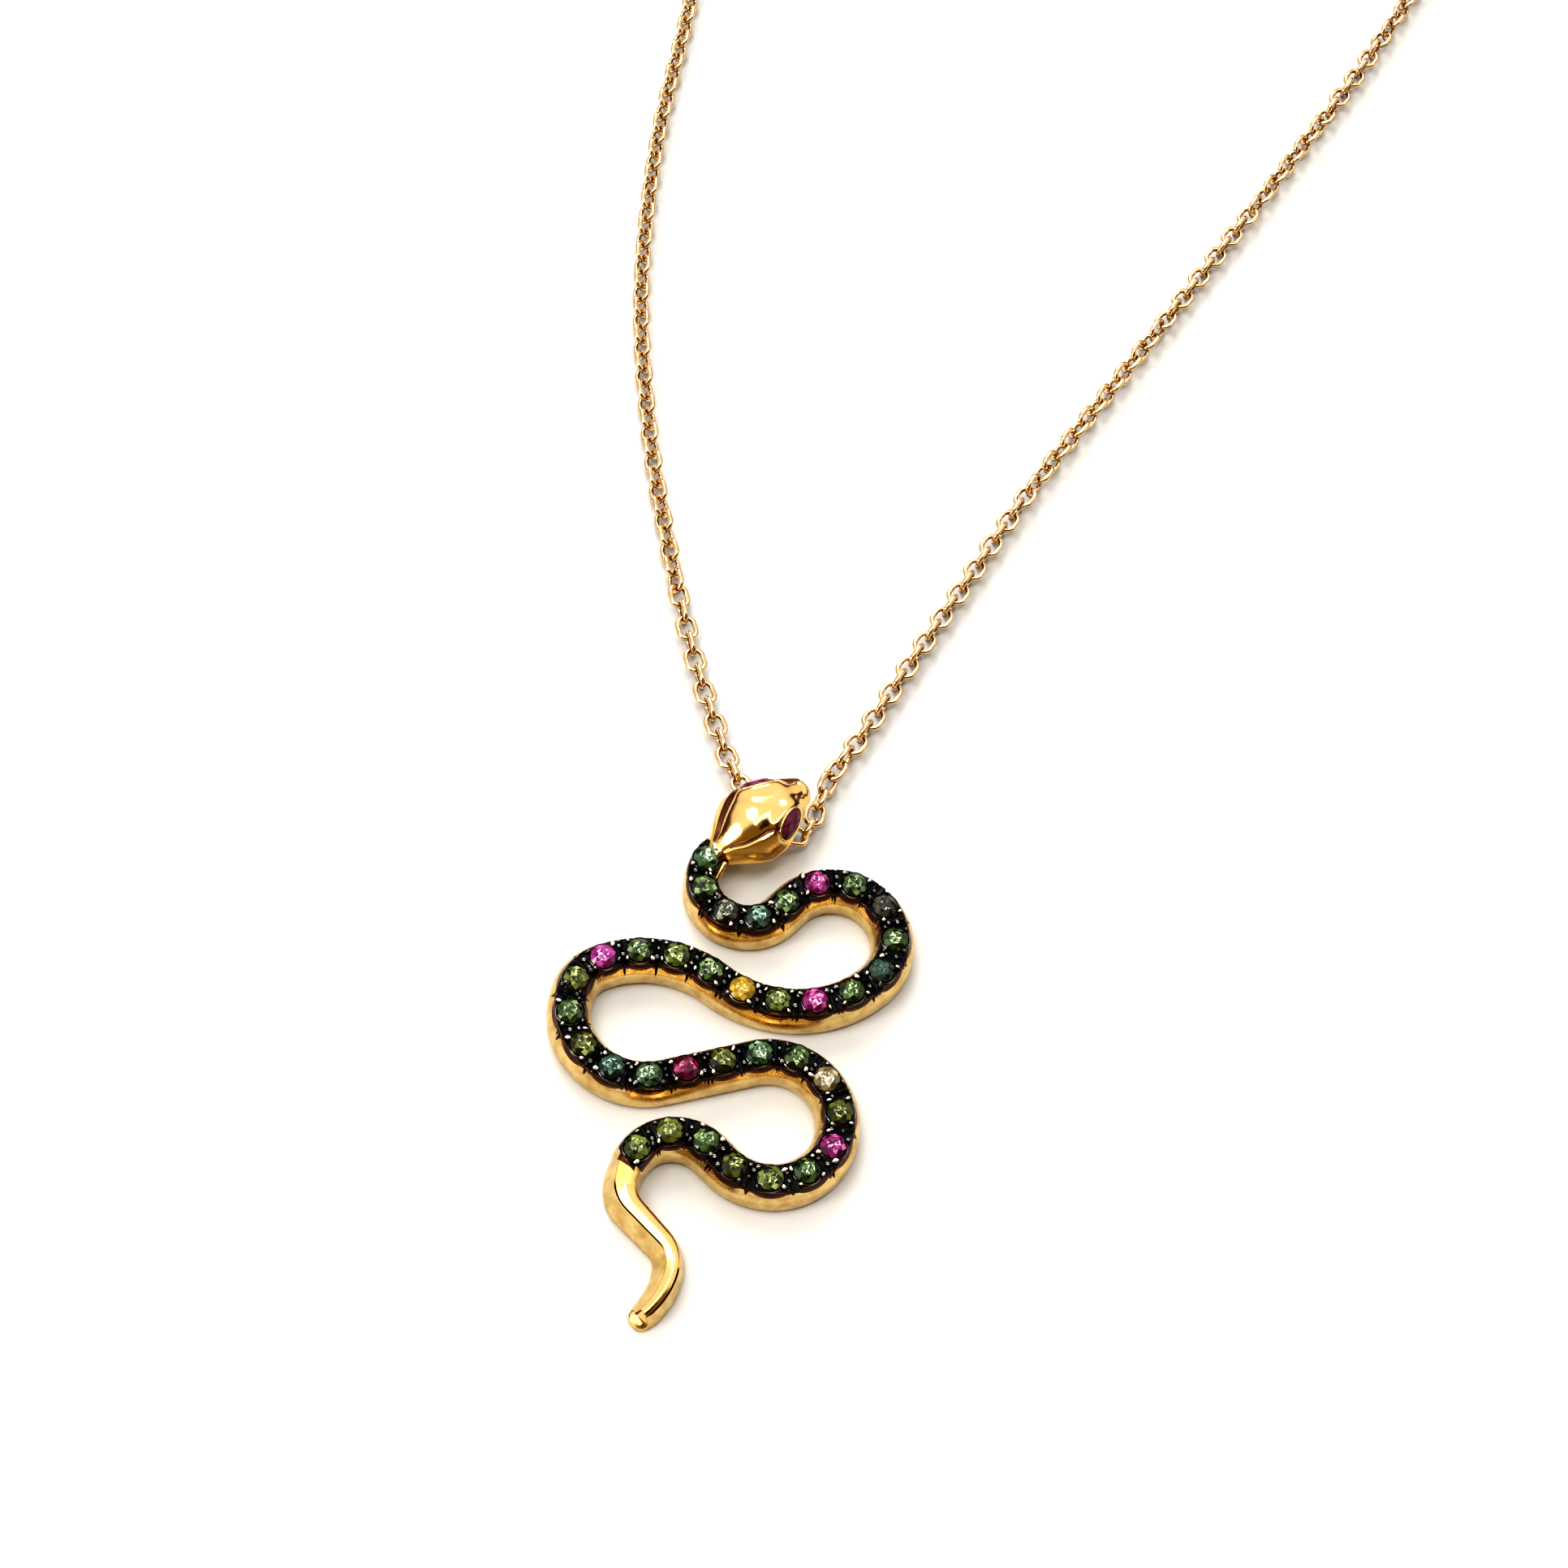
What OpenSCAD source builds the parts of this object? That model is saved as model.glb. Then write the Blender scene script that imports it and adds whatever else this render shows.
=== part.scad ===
// Snake pendant lying flat on its back, on its cable chain necklace.
// Millimetres, +Z up. The origin is on the flat back, halfway along the
// straight stretch in the middle of the body, and the head points to +Y.

/* [Body] */
// Width of the body at its widest, low on the side walls
base_w = 2.06; // [1.9:0.02:2.3]
// Width of the flat top that carries the stones
top_w = 1.4; // [1.34:0.02:1.5]
// Height of the flat top above the back
body_h = 1.5; // [1.4:0.05:1.6]

/* [Stones] */
// Diameter of each round stone across its girdle
stone_d = 1.2; // [1.1:0.01:1.24]
// Gap between a stone and its seat
seat_gap = 0.02; // [0.01:0.005:0.03]
// Width of the beads that hold the stones
bead_d = 0.24; // [0.2:0.02:0.28]

/* [Head] */
// Direction that the head points, from +X
head_turn = 49; // [46:1:52]
// Thickness of the head at its crown
head_h = 1.8; // [1.65:0.05:1.95]
// Length of each oval eye stone
eye_l = 1.65; // [1.4:0.05:1.7]

/* [Chain] */
// Width of the chain across its links
chain_d = 1.12; // [1.0:0.02:1.16]
// Outer diameter of the clasp ring
clasp_d = 5; // [4.6:0.1:5.2]

/* [Hidden] */
STONES = 36;
STONE_NODES = [for (i = [1 : STONES]) str("stone_", i < 10 ? "0" : "", i)];
$fn = 24;

gold = "#d9a441";
rose_gold = "#d49a6a";
green = "#3f7a3c";
teal = "#1f5f52";
olive = "#7c8a2e";
pink = "#d0288c";
yellow = "#d8b21e";
ruby = "#5a0f2e";

// Bends of the body from neck to tail tip:
// radius, turn in degrees (plus is left), straight run after the bend
bends = [
    [2.15,  183, 0.80],
    [2.75, -183, 0],
    [5.65,  -81, 0],
    [5.30,   63, 0],
    [2.00,   44, 0],
    [3.40,  126, 4.25],
    [3.05, -241, 0.75],
    [2.20,   99, 0],
    [3.30, 23.5, 0],
    [1.60, 57.5, 1.90],
    [1.40,  -53, 0],
    [3.60, -38.5, 0.60],
];
neck_heading = -126;
middle_bend = 5;

function sum_of(list) = len(list) == 0 ? 0 : [for (v = list) 1] * list;
function arc_len(bend) = bend[0] * abs(bend[1]) * PI / 180;
legs = [for (b = bends) each [[b[0], sign(b[1]), arc_len(b)], [0, 0, b[2]]]];
body_len = sum_of([for (leg = legs) leg[2]]);
origin_station = sum_of([for (i = [0 : middle_bend]) arc_len(bends[i]) + bends[i][2]])
    - bends[middle_bend][2] / 2;

// A point and heading [x, y, heading] moved the distance d along one leg
function go(p, leg, d) = leg[1] == 0
    ? [p.x + d * cos(p.z), p.y + d * sin(p.z), p.z]
    : let (r = leg[0], side = leg[1], turned = p.z + side * d / r * 180 / PI)
        [p.x + side * r * (sin(turned) - sin(p.z)),
         p.y - side * r * (cos(turned) - cos(p.z)),
         turned];
function walk(s, i = 0, p = [0, 0, neck_heading]) =
    i == len(legs) - 1 || s <= legs[i][2]
        ? go(p, legs[i], s)
        : walk(s - legs[i][2], i + 1, go(p, legs[i], legs[i][2]));
middle = walk(origin_station);
// The centre line's point and heading at a station, measured from the neck
function place(s) = walk(s) - [middle.x, middle.y, 0];

// Runs of evenly set stones: gaps in the run, spacing
stone_runs = [[4, 1.59], [7, 1.79], [24, 1.715]];
first_stone = 0.85;
gaps = [for (run = stone_runs) for (i = [1 : run[0]]) run[1]];
stations = [for (i = [0 : STONES - 1])
    first_stone + sum_of([for (k = [0 : 1 : i - 1]) gaps[k]])];
last_stone = stations[STONES - 1];
tail_s = last_stone + stone_d / 2;

// Stone colours from the neck to the tail
stone_colors = [
    green, green, teal, teal, green, pink, green, teal, green,
    teal, green, pink, olive, yellow, green, olive, green, pink,
    olive, green, olive, green, green, pink, olive, green, green,
    olive, olive, pink, green, olive, olive, green, olive, green,
];

// Half widths and height along the body: station, size. The body starts
// inside the head and its tail narrows to a rounded crest past the last stone
body_start = -1.3;
notch_l = 0.25;
half_base = [
    [body_start, base_w * 0.30], [first_stone, base_w * 0.37], [2.4, base_w * 0.44],
    [4.2, base_w / 2], [tail_s - 4, base_w / 2], [tail_s - 1, base_w * 0.45],
    [tail_s + 0.6, base_w * 0.41], [tail_s + 2.5, base_w * 0.36],
    [body_len - 2.2, base_w * 0.34], [body_len - 0.8, base_w * 0.31],
    [body_len - 0.45, base_w * 0.28], [body_len - 0.25, base_w * 0.24],
    [body_len - 0.1, base_w * 0.17], [body_len, base_w * 0.07],
];
half_top = [
    [body_start, top_w * 0.34], [first_stone, top_w * 0.48], [2.4, top_w / 2],
    [tail_s - 0.1, top_w / 2], [tail_s + notch_l, top_w * 0.26],
    [body_len - 0.7, top_w * 0.17], [body_len, top_w * 0.05],
];
heights = [
    [body_start, body_h * 1.2], [-0.2, body_h * 1.02], [0.2, body_h],
    [tail_s + 0.3, body_h], [body_len - 2.5, body_h * 0.76],
    [body_len - 0.7, body_h * 0.58], [body_len - 0.2, body_h * 0.44],
    [body_len, body_h * 0.22],
];

// Rings of points as one closed solid with flat ends
module skin(rings) {
    n = len(rings[0]);
    last = (len(rings) - 1) * n;
    sides = [for (i = [0 : len(rings) - 2]) for (k = [0 : n - 1])
        let (a = i * n + k, b = i * n + (k + 1) % n)
        each [[a, b, b + n], [a, b + n, a + n]]];
    polyhedron(
        points = [for (ring = rings) each ring],
        faces = concat([[for (k = [n - 1 : -1 : 0]) k]], sides,
                       [[for (k = [0 : n - 1]) last + k]]),
        convexity = 10
    );
}

// One cross-section of the body as [right, up] points: flat back, bulged
// walls and a flat top with a narrow bevel
edge_lip = 0.03;
function profile(base, top, h) =
    let (side = [
        [base * 0.86, 0], [base * 0.97, h * 0.10], [base, h * 0.26],
        [base * 0.6 + top * 0.4, h * 0.56], [top + edge_lip, h * 0.82],
        [top, h * 0.95], [top * 0.9, h],
    ])
    concat(side, [for (i = [len(side) - 1 : -1 : 0]) [-side[i].x, side[i].y]]);
function body_ring(s) =
    let (p = place(s), right = [sin(p.z), -cos(p.z)])
    [for (q = profile(lookup(s, half_base), lookup(s, half_top), lookup(s, heights)))
        [p.x + right.x * q.x, p.y + right.y * q.x, q.y]];

body_step = 0.62;
tail_step = 0.4;
tip_steps = [0.7, 0.45, 0.25, 0.1, 0];
body_stations = concat(
    [for (s = [body_start : body_step : tail_s]) s],
    [for (s = [tail_s + notch_l : tail_step : body_len - tip_steps[0] - notch_l]) s],
    [for (e = tip_steps) body_len - e]
);

// Puts its children at a station of the body, +X along the body
module on_body(s) {
    p = place(s);
    translate([p.x, p.y, 0]) rotate(p.z) children();
}

// A cut stone with a table, a faceted crown, a girdle and a pavilion.
// Its girdle is at z = 0
crown_h = 0.19;
girdle_h = 0.05;
pavilion_h = 0.5;
table_share = 0.56;
girdle_z = body_h + 0.06;
module cut_stone(length, width, crown = crown_h, pavilion = pavilion_h, mains = 8) {
    sides = 2 * mains;
    function ring(share, z, n) = [for (k = [0 : n - 1])
        [share * length / 2 * cos(k * 360 / n), share * width / 2 * sin(k * 360 / n), z]];
    upper = mains;
    lower = mains + sides;
    culet = lower + sides;
    crown_faces = [for (k = [0 : mains - 1])
        let (on = upper + 2 * k, after = on + 1, before = upper + (2 * k + sides - 1) % sides)
        each [[k, after, on], [k, on, before], [k, (k + 1) % mains, after]]];
    side_faces = [for (k = [0 : sides - 1])
        let (next = (k + 1) % sides)
        each [[upper + k, upper + next, lower + next, lower + k],
              [lower + k, lower + next, culet]]];
    polyhedron(
        points = concat(ring(table_share, crown, mains), ring(1, girdle_h / 2, sides),
                        ring(1, -girdle_h / 2, sides), [[0, 0, -pavilion]]),
        faces = concat([[for (k = [mains - 1 : -1 : 0]) k]], crown_faces, side_faces)
    );
}

// Seat of a stone: a cone under the girdle, open above it
seat_sides = 16;
seat_tip_r = 0.02;
clear_h = 1;
module seat() {
    r = (stone_d / 2 + seat_gap) / cos(180 / seat_sides);
    deep = pavilion_h + 2 * seat_gap;
    translate([0, 0, girdle_z - girdle_h / 2 - seat_gap]) {
        cylinder(h = clear_h, r = r, $fn = seat_sides);
        translate([0, 0, -deep])
            cylinder(h = deep, r1 = seat_tip_r, r2 = r, $fn = seat_sides);
    }
}

// Rounded cup in the wall under each stone, which scallops the edge of the top
cup_r = 0.71;
cup_foot_r = 0.51;
cup_low = 0.6;
cup_sides = 14;
module cup() {
    translate([0, 0, body_h * cup_low])
        cylinder(h = body_h * (1 - cup_low), r1 = cup_foot_r, r2 = cup_r, $fn = cup_sides);
}

// Beads that hold one stone, two toward each neighbour
bead_angle = 38;
bead_gap = 0.035;
bead_ring_r = stone_d / 2 + bead_gap + bead_d / 2;
bead_top = 0.26;
bead_root = 0.1;
bead_sides = 6;
module beads() {
    for (end = [0, 180]) for (side = [-1, 1]) rotate(end + side * bead_angle)
        translate([bead_ring_r, 0, body_h - bead_root])
            cylinder(h = bead_top + bead_root, d1 = bead_d, d2 = bead_d * 0.55,
                     $fn = bead_sides);
}

// The head, in a frame with +X from the neck to the snout
head_root = [-1.63, 10.78];
head_low = body_h + 0.2;
head_len = 5.02;
// Sections of the head: distance from the neck, half width, and the low,
// widest and top heights as shares of the head's thickness
head_sections = [
    [-0.35, 0.54, -0.45, -0.24, -0.02],
    [0.10,  0.82, -0.40, -0.16, 0.17],
    [0.60,  1.24, -0.28, -0.04, 0.46],
    [1.10,  1.62, -0.20,  0.01, 0.72],
    [1.70,  1.88, -0.15,  0.07, 0.91],
    [2.30,  1.88, -0.10,  0.11, 1.00],
    [2.95,  1.69, -0.04,  0.15, 1.00],
    [3.60,  1.38,  0.02,  0.21, 0.93],
    [4.20,  1.10,  0.04,  0.24, 0.82],
    [4.65,  0.84,  0.07,  0.27, 0.74],
    [4.88,  0.64,  0.12,  0.29, 0.68],
    [head_len, 0.40, 0.19, 0.32, 0.56],
];
head_sides = 20;
jaw_round = 0.6;
function head_ring(section) = [for (k = [0 : head_sides - 1])
    let (c = cos(k * 360 / head_sides), s = sin(k * 360 / head_sides),
         up = s > 0 ? (section[4] - section[3]) * s
                    : (section[3] - section[2]) * -pow(-s, jaw_round))
    [section[0], -section[1] * c, head_low + head_h * (section[3] + up)]];

module on_head() {
    translate(head_root) rotate(head_turn) children();
}

// An eye's place on the side of the head, +X along the eye and +Z out of it
eye_w = eye_l * 0.6;
eye_place = [3.05, 1.3, head_low + head_h * 0.62];
eye_tilt = 52;
eye_turn = 18;
eye_roll = 14;
eye_crown = 0.16;
eye_pavilion = 0.34;
eye_mains = 10;
rim_w = 0.13;
rim_low = 0.5;
rim_high = 0.05;
module on_eye(side) {
    on_head() translate([eye_place.x, side * eye_place.y, eye_place.z])
        rotate(-side * eye_turn) rotate([-side * eye_tilt, 0, -side * eye_roll])
            children();
}
module eye_oval(grow, low, high) {
    translate([0, 0, low]) linear_extrude(high - low)
        scale([(eye_l + 2 * grow) / 2, (eye_w + 2 * grow) / 2]) circle(1, $fn = 2 * eye_mains);
}

// Bail under the head, a short tube that the chain runs through
bail_x = 3.5;
bail_bore_r = 0.75;
bail_r = 1;
bail_l = 1.3;
module along_bail(length) {
    on_head() translate([bail_x, length / 2, bail_r]) rotate([90, 0, 0])
        linear_extrude(length) children();
}

module snake_body() color(gold) difference() {
    union() {
        skin([for (s = body_stations) body_ring(s)]);
        for (s = stations) on_body(s) {
            cup();
            beads();
        }
        on_head() skin([for (section = head_sections) head_ring(section)]);
        for (side = [-1, 1]) on_eye(side) eye_oval(rim_w, -rim_low, rim_high);
        along_bail(bail_l) circle(bail_r);
    }
    for (s = stations) on_body(s) seat();
    for (side = [-1, 1]) on_eye(side)
        eye_oval(seat_gap, -eye_pavilion - 2 * seat_gap, clear_h);
    along_bail(2 * bail_l) circle(bail_bore_r);
}

module eye(side) color(ruby) on_eye(side)
    cut_stone(eye_l, eye_w, eye_crown, eye_pavilion, eye_mains);

module eye_left() eye(1);
module eye_right() eye(-1);

module stone(number) color(stone_colors[number - 1])
    on_body(stations[number - 1]) translate([0, 0, girdle_z]) cut_stone(stone_d, stone_d);

// Spring ring that closes the chain, with an eyelet for one end of it. It lies
// on the wire of the end link that passes under it
clasp_at = [14.15, 204];
clasp_wire = 0.9;
clasp_lift = 0.3;
clasp_z = clasp_wire / 2 + clasp_lift;
clasp_gap = 0.08;
eyelet_d = 1.9;
eyelet_wire = 0.45;
eyelet_x = clasp_at.x - (clasp_d + eyelet_d - clasp_wire) / 2;

// Route of the chain from the eyelet, through the bail, to the clasp ring
chain_z = chain_d / 2;
bail_z = 0.95;
ring_reach = (clasp_d / 2 + clasp_gap) * cos(45);
route = [
    [eyelet_x - eyelet_d / 2 - clasp_gap, clasp_at.y, clasp_z],
    [0, 202, chain_z], [-9.5, 194, chain_z],
    [-16.5, 181, chain_z], [-21, 165, chain_z], [-23, 147, chain_z],
    [-22.5, 128, chain_z], [-20, 109, chain_z], [-17, 92, chain_z],
    [-14.6, 77, chain_z], [-13.5, 64, chain_z], [-13.2, 53, chain_z],
    [-12, 43, chain_z], [-9.8, 34.3, chain_z], [-7.2, 27, chain_z],
    [-4.9, 21.5, chain_z], [-3, 17.7, chain_z], [-1.65, 15.3, 0.75],
    [-0.5, 14.2, 0.92], [0.6, 13.35, bail_z], [1.35, 12.78, 0.87],
    [2.04, 12.94, 0.7], [2.37, 13.65, 0.6], [2.44, 14.7, chain_z],
    [2.9, 16.7, chain_z], [3.95, 19.3, chain_z], [5.5, 23.7, chain_z],
    [7.4, 28.9, chain_z], [9.8, 35.4, chain_z], [12.8, 42.3, chain_z],
    [16.3, 50.4, chain_z], [20.2, 59.5, chain_z], [24.6, 70.2, chain_z],
    [29.4, 84, chain_z], [34, 101, chain_z], [37.5, 121, chain_z],
    [39, 142, chain_z], [37.5, 162, chain_z], [33, 180, chain_z],
    [26, 193.2, chain_z], [clasp_at.x + ring_reach, clasp_at.y - ring_reach, chain_z],
];
tube_sides = 8;
// A point of a smooth curve through b and c, at a share t of the way
function curve(a, b, c, d, t) = 0.5 * (2 * b + (c - a) * t
    + (2 * a - 5 * b + 4 * c - d) * t * t + (3 * b - a - 3 * c + d) * t * t * t);
function route_at(i, t) =
    let (n = len(route) - 1)
    curve(route[max(i - 1, 0)], route[i], route[min(i + 1, n)], route[min(i + 2, n)], t);
chain_points = concat(
    [for (i = [0 : len(route) - 2]) for (t = [0, 0.5]) route_at(i, t)],
    [route[len(route) - 1]]
);
function tube_ring(i) =
    let (n = len(chain_points) - 1,
         ahead = chain_points[min(i + 1, n)] - chain_points[max(i - 1, 0)],
         along = ahead / norm(ahead),
         right = cross(along, [0, 0, 1]) / norm(cross(along, [0, 0, 1])),
         up = cross(right, along))
    [for (k = [0 : tube_sides - 1]) let (a = (k + 0.5) * 360 / tube_sides)
        chain_points[i] + chain_d / 2 * (cos(a) * right + sin(a) * up)];

module chain() color(rose_gold)
    skin([for (i = [0 : len(chain_points) - 1]) tube_ring(i)]);

module wire_ring(d, wire) {
    rotate_extrude($fn = 48) translate([(d - wire) / 2, 0]) circle(d = wire);
}
module clasp() color(rose_gold) translate([0, clasp_at.y, clasp_z]) {
    translate([clasp_at.x, 0, 0]) wire_ring(clasp_d, clasp_wire);
    translate([eyelet_x, 0, 0]) wire_ring(eyelet_d, eyelet_wire);
}

snake_body();
eye_left();
eye_right();
chain();
clasp();
for (i = [1 : STONES])
    stone(i);
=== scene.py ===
import random
from math import copysign, cos, exp, hypot, pi, radians, sin, sqrt, tanh

import bpy
from mathutils import Matrix, Vector


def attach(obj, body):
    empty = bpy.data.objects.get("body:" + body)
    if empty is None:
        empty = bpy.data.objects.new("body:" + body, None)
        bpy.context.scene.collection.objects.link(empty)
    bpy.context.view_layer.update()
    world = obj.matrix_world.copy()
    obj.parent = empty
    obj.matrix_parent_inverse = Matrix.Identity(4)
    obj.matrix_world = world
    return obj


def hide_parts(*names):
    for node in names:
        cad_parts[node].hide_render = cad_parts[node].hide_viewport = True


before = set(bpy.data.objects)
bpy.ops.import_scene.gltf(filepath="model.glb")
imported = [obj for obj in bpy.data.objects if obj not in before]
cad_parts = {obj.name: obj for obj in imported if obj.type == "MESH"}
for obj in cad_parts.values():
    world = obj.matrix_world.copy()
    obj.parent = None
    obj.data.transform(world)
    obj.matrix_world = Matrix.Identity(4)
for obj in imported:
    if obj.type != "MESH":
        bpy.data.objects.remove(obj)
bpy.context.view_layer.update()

# Snake pendant on a cable chain. Sizes are millimetres up to the studio, and mm makes them metres
mm = 0.001
random.seed(7)
print("frame loaded")


# Small helpers

def intoScene(name, data):
    thing = bpy.data.objects.new(name, data)
    bpy.context.scene.collection.objects.link(thing)
    return thing


def lerp(a, b, t):
    return a + (b - a) * t


def ramp(x, start, over):
    # 0 up to start, 1 from the end of the stretch on
    return min(1, max(0, (x - start) / over))


def smoothValue(table, x):
    # a value from rows of (place, value), eased through them without overshoot
    if x <= table[0][0]:
        return table[0][1]
    if x >= table[-1][0]:
        return table[-1][1]
    i = max(k for k in range(len(table) - 1) if table[k][0] <= x)
    (x0, y0), (x1, y1) = table[i], table[i + 1]

    def slopeAt(k):
        if not 0 < k < len(table) - 1:
            return 0
        before, after = [(b[1] - a[1]) / (b[0] - a[0]) for a, b in zip(table[k - 1:k + 1], table[k:k + 2])]
        return 2 * before * after / (before + after) if before * after > 0 else 0

    step = x1 - x0
    t = (x - x0) / step
    bend = (1 - t) * slopeAt(i) - t * slopeAt(i + 1)
    return y0 + (y1 - y0) * t * t * (3 - 2 * t) + step * t * (1 - t) * bend


def within(x, limits):
    return limits[0] < x < limits[1]


def circle(middle, right, ahead, count, shift=0):
    # points round a circle, or an oval if right and ahead differ in length
    turns = [2 * pi * (k + shift) / count for k in range(count)]
    return [middle + right * cos(a) + ahead * sin(a) for a in turns]


upright = Vector((0, 0, 1))


def levelAxes(angle):
    # along the angle and to its left, both level
    return (Vector((cos(angle), sin(angle), 0)),
            Vector((-sin(angle), cos(angle), 0)))


class Shell:
    # points and faces of one piece, gathered before they become a mesh
    def __init__(self):
        self.points = []
        self.faces = []
        self.looks = []
        self.shades = []

    def addPoints(self, points):
        start = len(self.points)
        self.points += [tuple(p) for p in points]
        return start

    def addFace(self, corners, look=0, shade=0):
        self.faces.append(tuple(corners))
        self.looks.append(look)
        self.shades.append(shade)

    def addGrid(self, rings, lookAt, caps=True):
        # joins rings of points into a skin; lookAt gives the finish of face k after ring i
        n = len(rings[0])
        start = self.addPoints([p for ring in rings for p in ring])
        for i in range(len(rings) - 1):
            for k in range(n):
                a = start + i * n + k
                b = start + i * n + (k + 1) % n
                self.addFace((a, b, b + n, a + n), lookAt(i, k))
        if caps:
            last = start + (len(rings) - 1) * n
            self.addFace([start + k for k in reversed(range(n))], lookAt(0, 0))
            self.addFace([last + k for k in range(n)], lookAt(0, 0))

    def toObject(self, name, materials, smooth=True, sharpAngle=None):
        mesh = bpy.data.meshes.new(name)
        mesh.from_pydata([Vector(p) * mm for p in self.points], [], self.faces)
        for material in materials:
            mesh.materials.append(material)
        mesh.polygons.foreach_set("material_index", self.looks)
        mesh.polygons.foreach_set("use_smooth", [smooth] * len(self.faces))
        if any(self.shades):
            shade = mesh.attributes.new("facetShade", "FLOAT", "FACE")
            shade.data.foreach_set("value", self.shades)
        mesh.validate()
        if sharpAngle:
            mesh.set_sharp_from_angle(angle=radians(sharpAngle))
        return intoScene(name, mesh)


# Camera: looks down on the pendant, as the photograph does

cameraSetup = {
    "place": (0.666, -58.128, 128.189),
    "lookDown": 60,  # degrees below the horizon
    "roll": 12,  # degrees
    "lens": 70.81, "sensor": 36,
    "clip": 1,
}


def makeCamera():
    c = cameraSetup
    camera = intoScene("camera", bpy.data.cameras.new("camera"))
    camera.data.lens = c["lens"]
    camera.data.sensor_width = c["sensor"]
    camera.data.clip_start = c["clip"] * mm
    down = Matrix.Rotation(radians(90 - c["lookDown"]), 4, "X")
    roll = Matrix.Rotation(radians(c["roll"]), 4, "Z")
    camera.matrix_world = Matrix.Translation(Vector(c["place"]) * mm) @ down @ roll
    bpy.context.scene.camera = camera


makeCamera()
print("camera set")


# Shader groups that several finishes share

mixA, mixB, mixed = 6, 7, 2  # the colour sockets of a Mix node


def addNode(tree, kind, values=None, **settings):
    node = tree.nodes.new(kind)
    for key, value in settings.items():
        setattr(node, key, value)
    for key, value in (values or {}).items():
        node.inputs[key].default_value = value
    return node


def wire(tree, *rows):
    # each row: a node and its output, then the node and the input it feeds
    for source, output, target, entry in rows:
        tree.links.new(source.outputs[output], target.inputs[entry])


def makeGroup(name, inputs, outputs):
    # inputs by name with their values: four numbers are a colour, one is a plain value
    group = bpy.data.node_groups.new(name, "ShaderNodeTree")
    for label, value in inputs.items():
        kind = "NodeSocketColor" if isinstance(value, tuple) else "NodeSocketFloat"
        group.interface.new_socket(label, in_out="INPUT", socket_type=kind).default_value = value
    for label in outputs:
        kind = "NodeSocketColor" if label == "Colour" else "NodeSocketFloat"
        group.interface.new_socket(label, in_out="OUTPUT", socket_type=kind)
    return group, group.nodes.new("NodeGroupInput"), group.nodes.new("NodeGroupOutput")


def polishedMetalGroup():
    # soft casting mottle, buffing lines and small dips of worn polished metal
    group, ins, outs = makeGroup("polishedMetal", {
        "Metal": (0.9, 0.65, 0.3, 1), "Shadow Tone": (0.6, 0.35, 0.12, 1), "Mottle": 0.4,
        "Mottle Size": 1500, "Smooth Roughness": 0.08, "Dull Roughness": 0.25, "Line Size": 9000,
    }, ["Colour", "Roughness", "Height"])
    place = addNode(group, "ShaderNodeTexCoord")
    mottle = addNode(group, "ShaderNodeTexNoise", {"Detail": 4, "Roughness": 0.55})
    contrast = addNode(group, "ShaderNodeMapRange", {"From Min": 0.38, "From Max": 0.66})
    amount = addNode(group, "ShaderNodeMath", operation="MULTIPLY")
    tone = addNode(group, "ShaderNodeMix", data_type="RGBA")
    stretch = addNode(group, "ShaderNodeMapping", {"Scale": (1, 0.18, 1), "Rotation": (0, 0, 0.5)})
    lines = addNode(group, "ShaderNodeTexNoise", {"Detail": 3, "Roughness": 0.7})
    rough = addNode(group, "ShaderNodeMapRange", {"From Min": 0.3, "From Max": 0.7})
    lineShare = {1: 0.25}  # height of the lines beside that of the mottle
    height = addNode(group, "ShaderNodeMath", lineShare, operation="MULTIPLY_ADD")
    wire(group,
         (place, "Object", mottle, "Vector"), (ins, "Mottle Size", mottle, "Scale"),
         (mottle, "Fac", contrast, "Value"),
         (contrast, "Result", amount, 0), (ins, "Mottle", amount, 1),
         (amount, 0, tone, "Factor"), (ins, "Metal", tone, mixA), (ins, "Shadow Tone", tone, mixB),
         (tone, mixed, outs, "Colour"),
         (place, "Object", stretch, "Vector"), (stretch, "Vector", lines, "Vector"),
         (ins, "Line Size", lines, "Scale"), (lines, "Fac", rough, "Value"),
         (ins, "Smooth Roughness", rough, "To Min"), (ins, "Dull Roughness", rough, "To Max"),
         (rough, "Result", outs, "Roughness"),
         (lines, "Fac", height, 0), (mottle, "Fac", height, 2), (height, 0, outs, "Height"))
    return group


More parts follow.
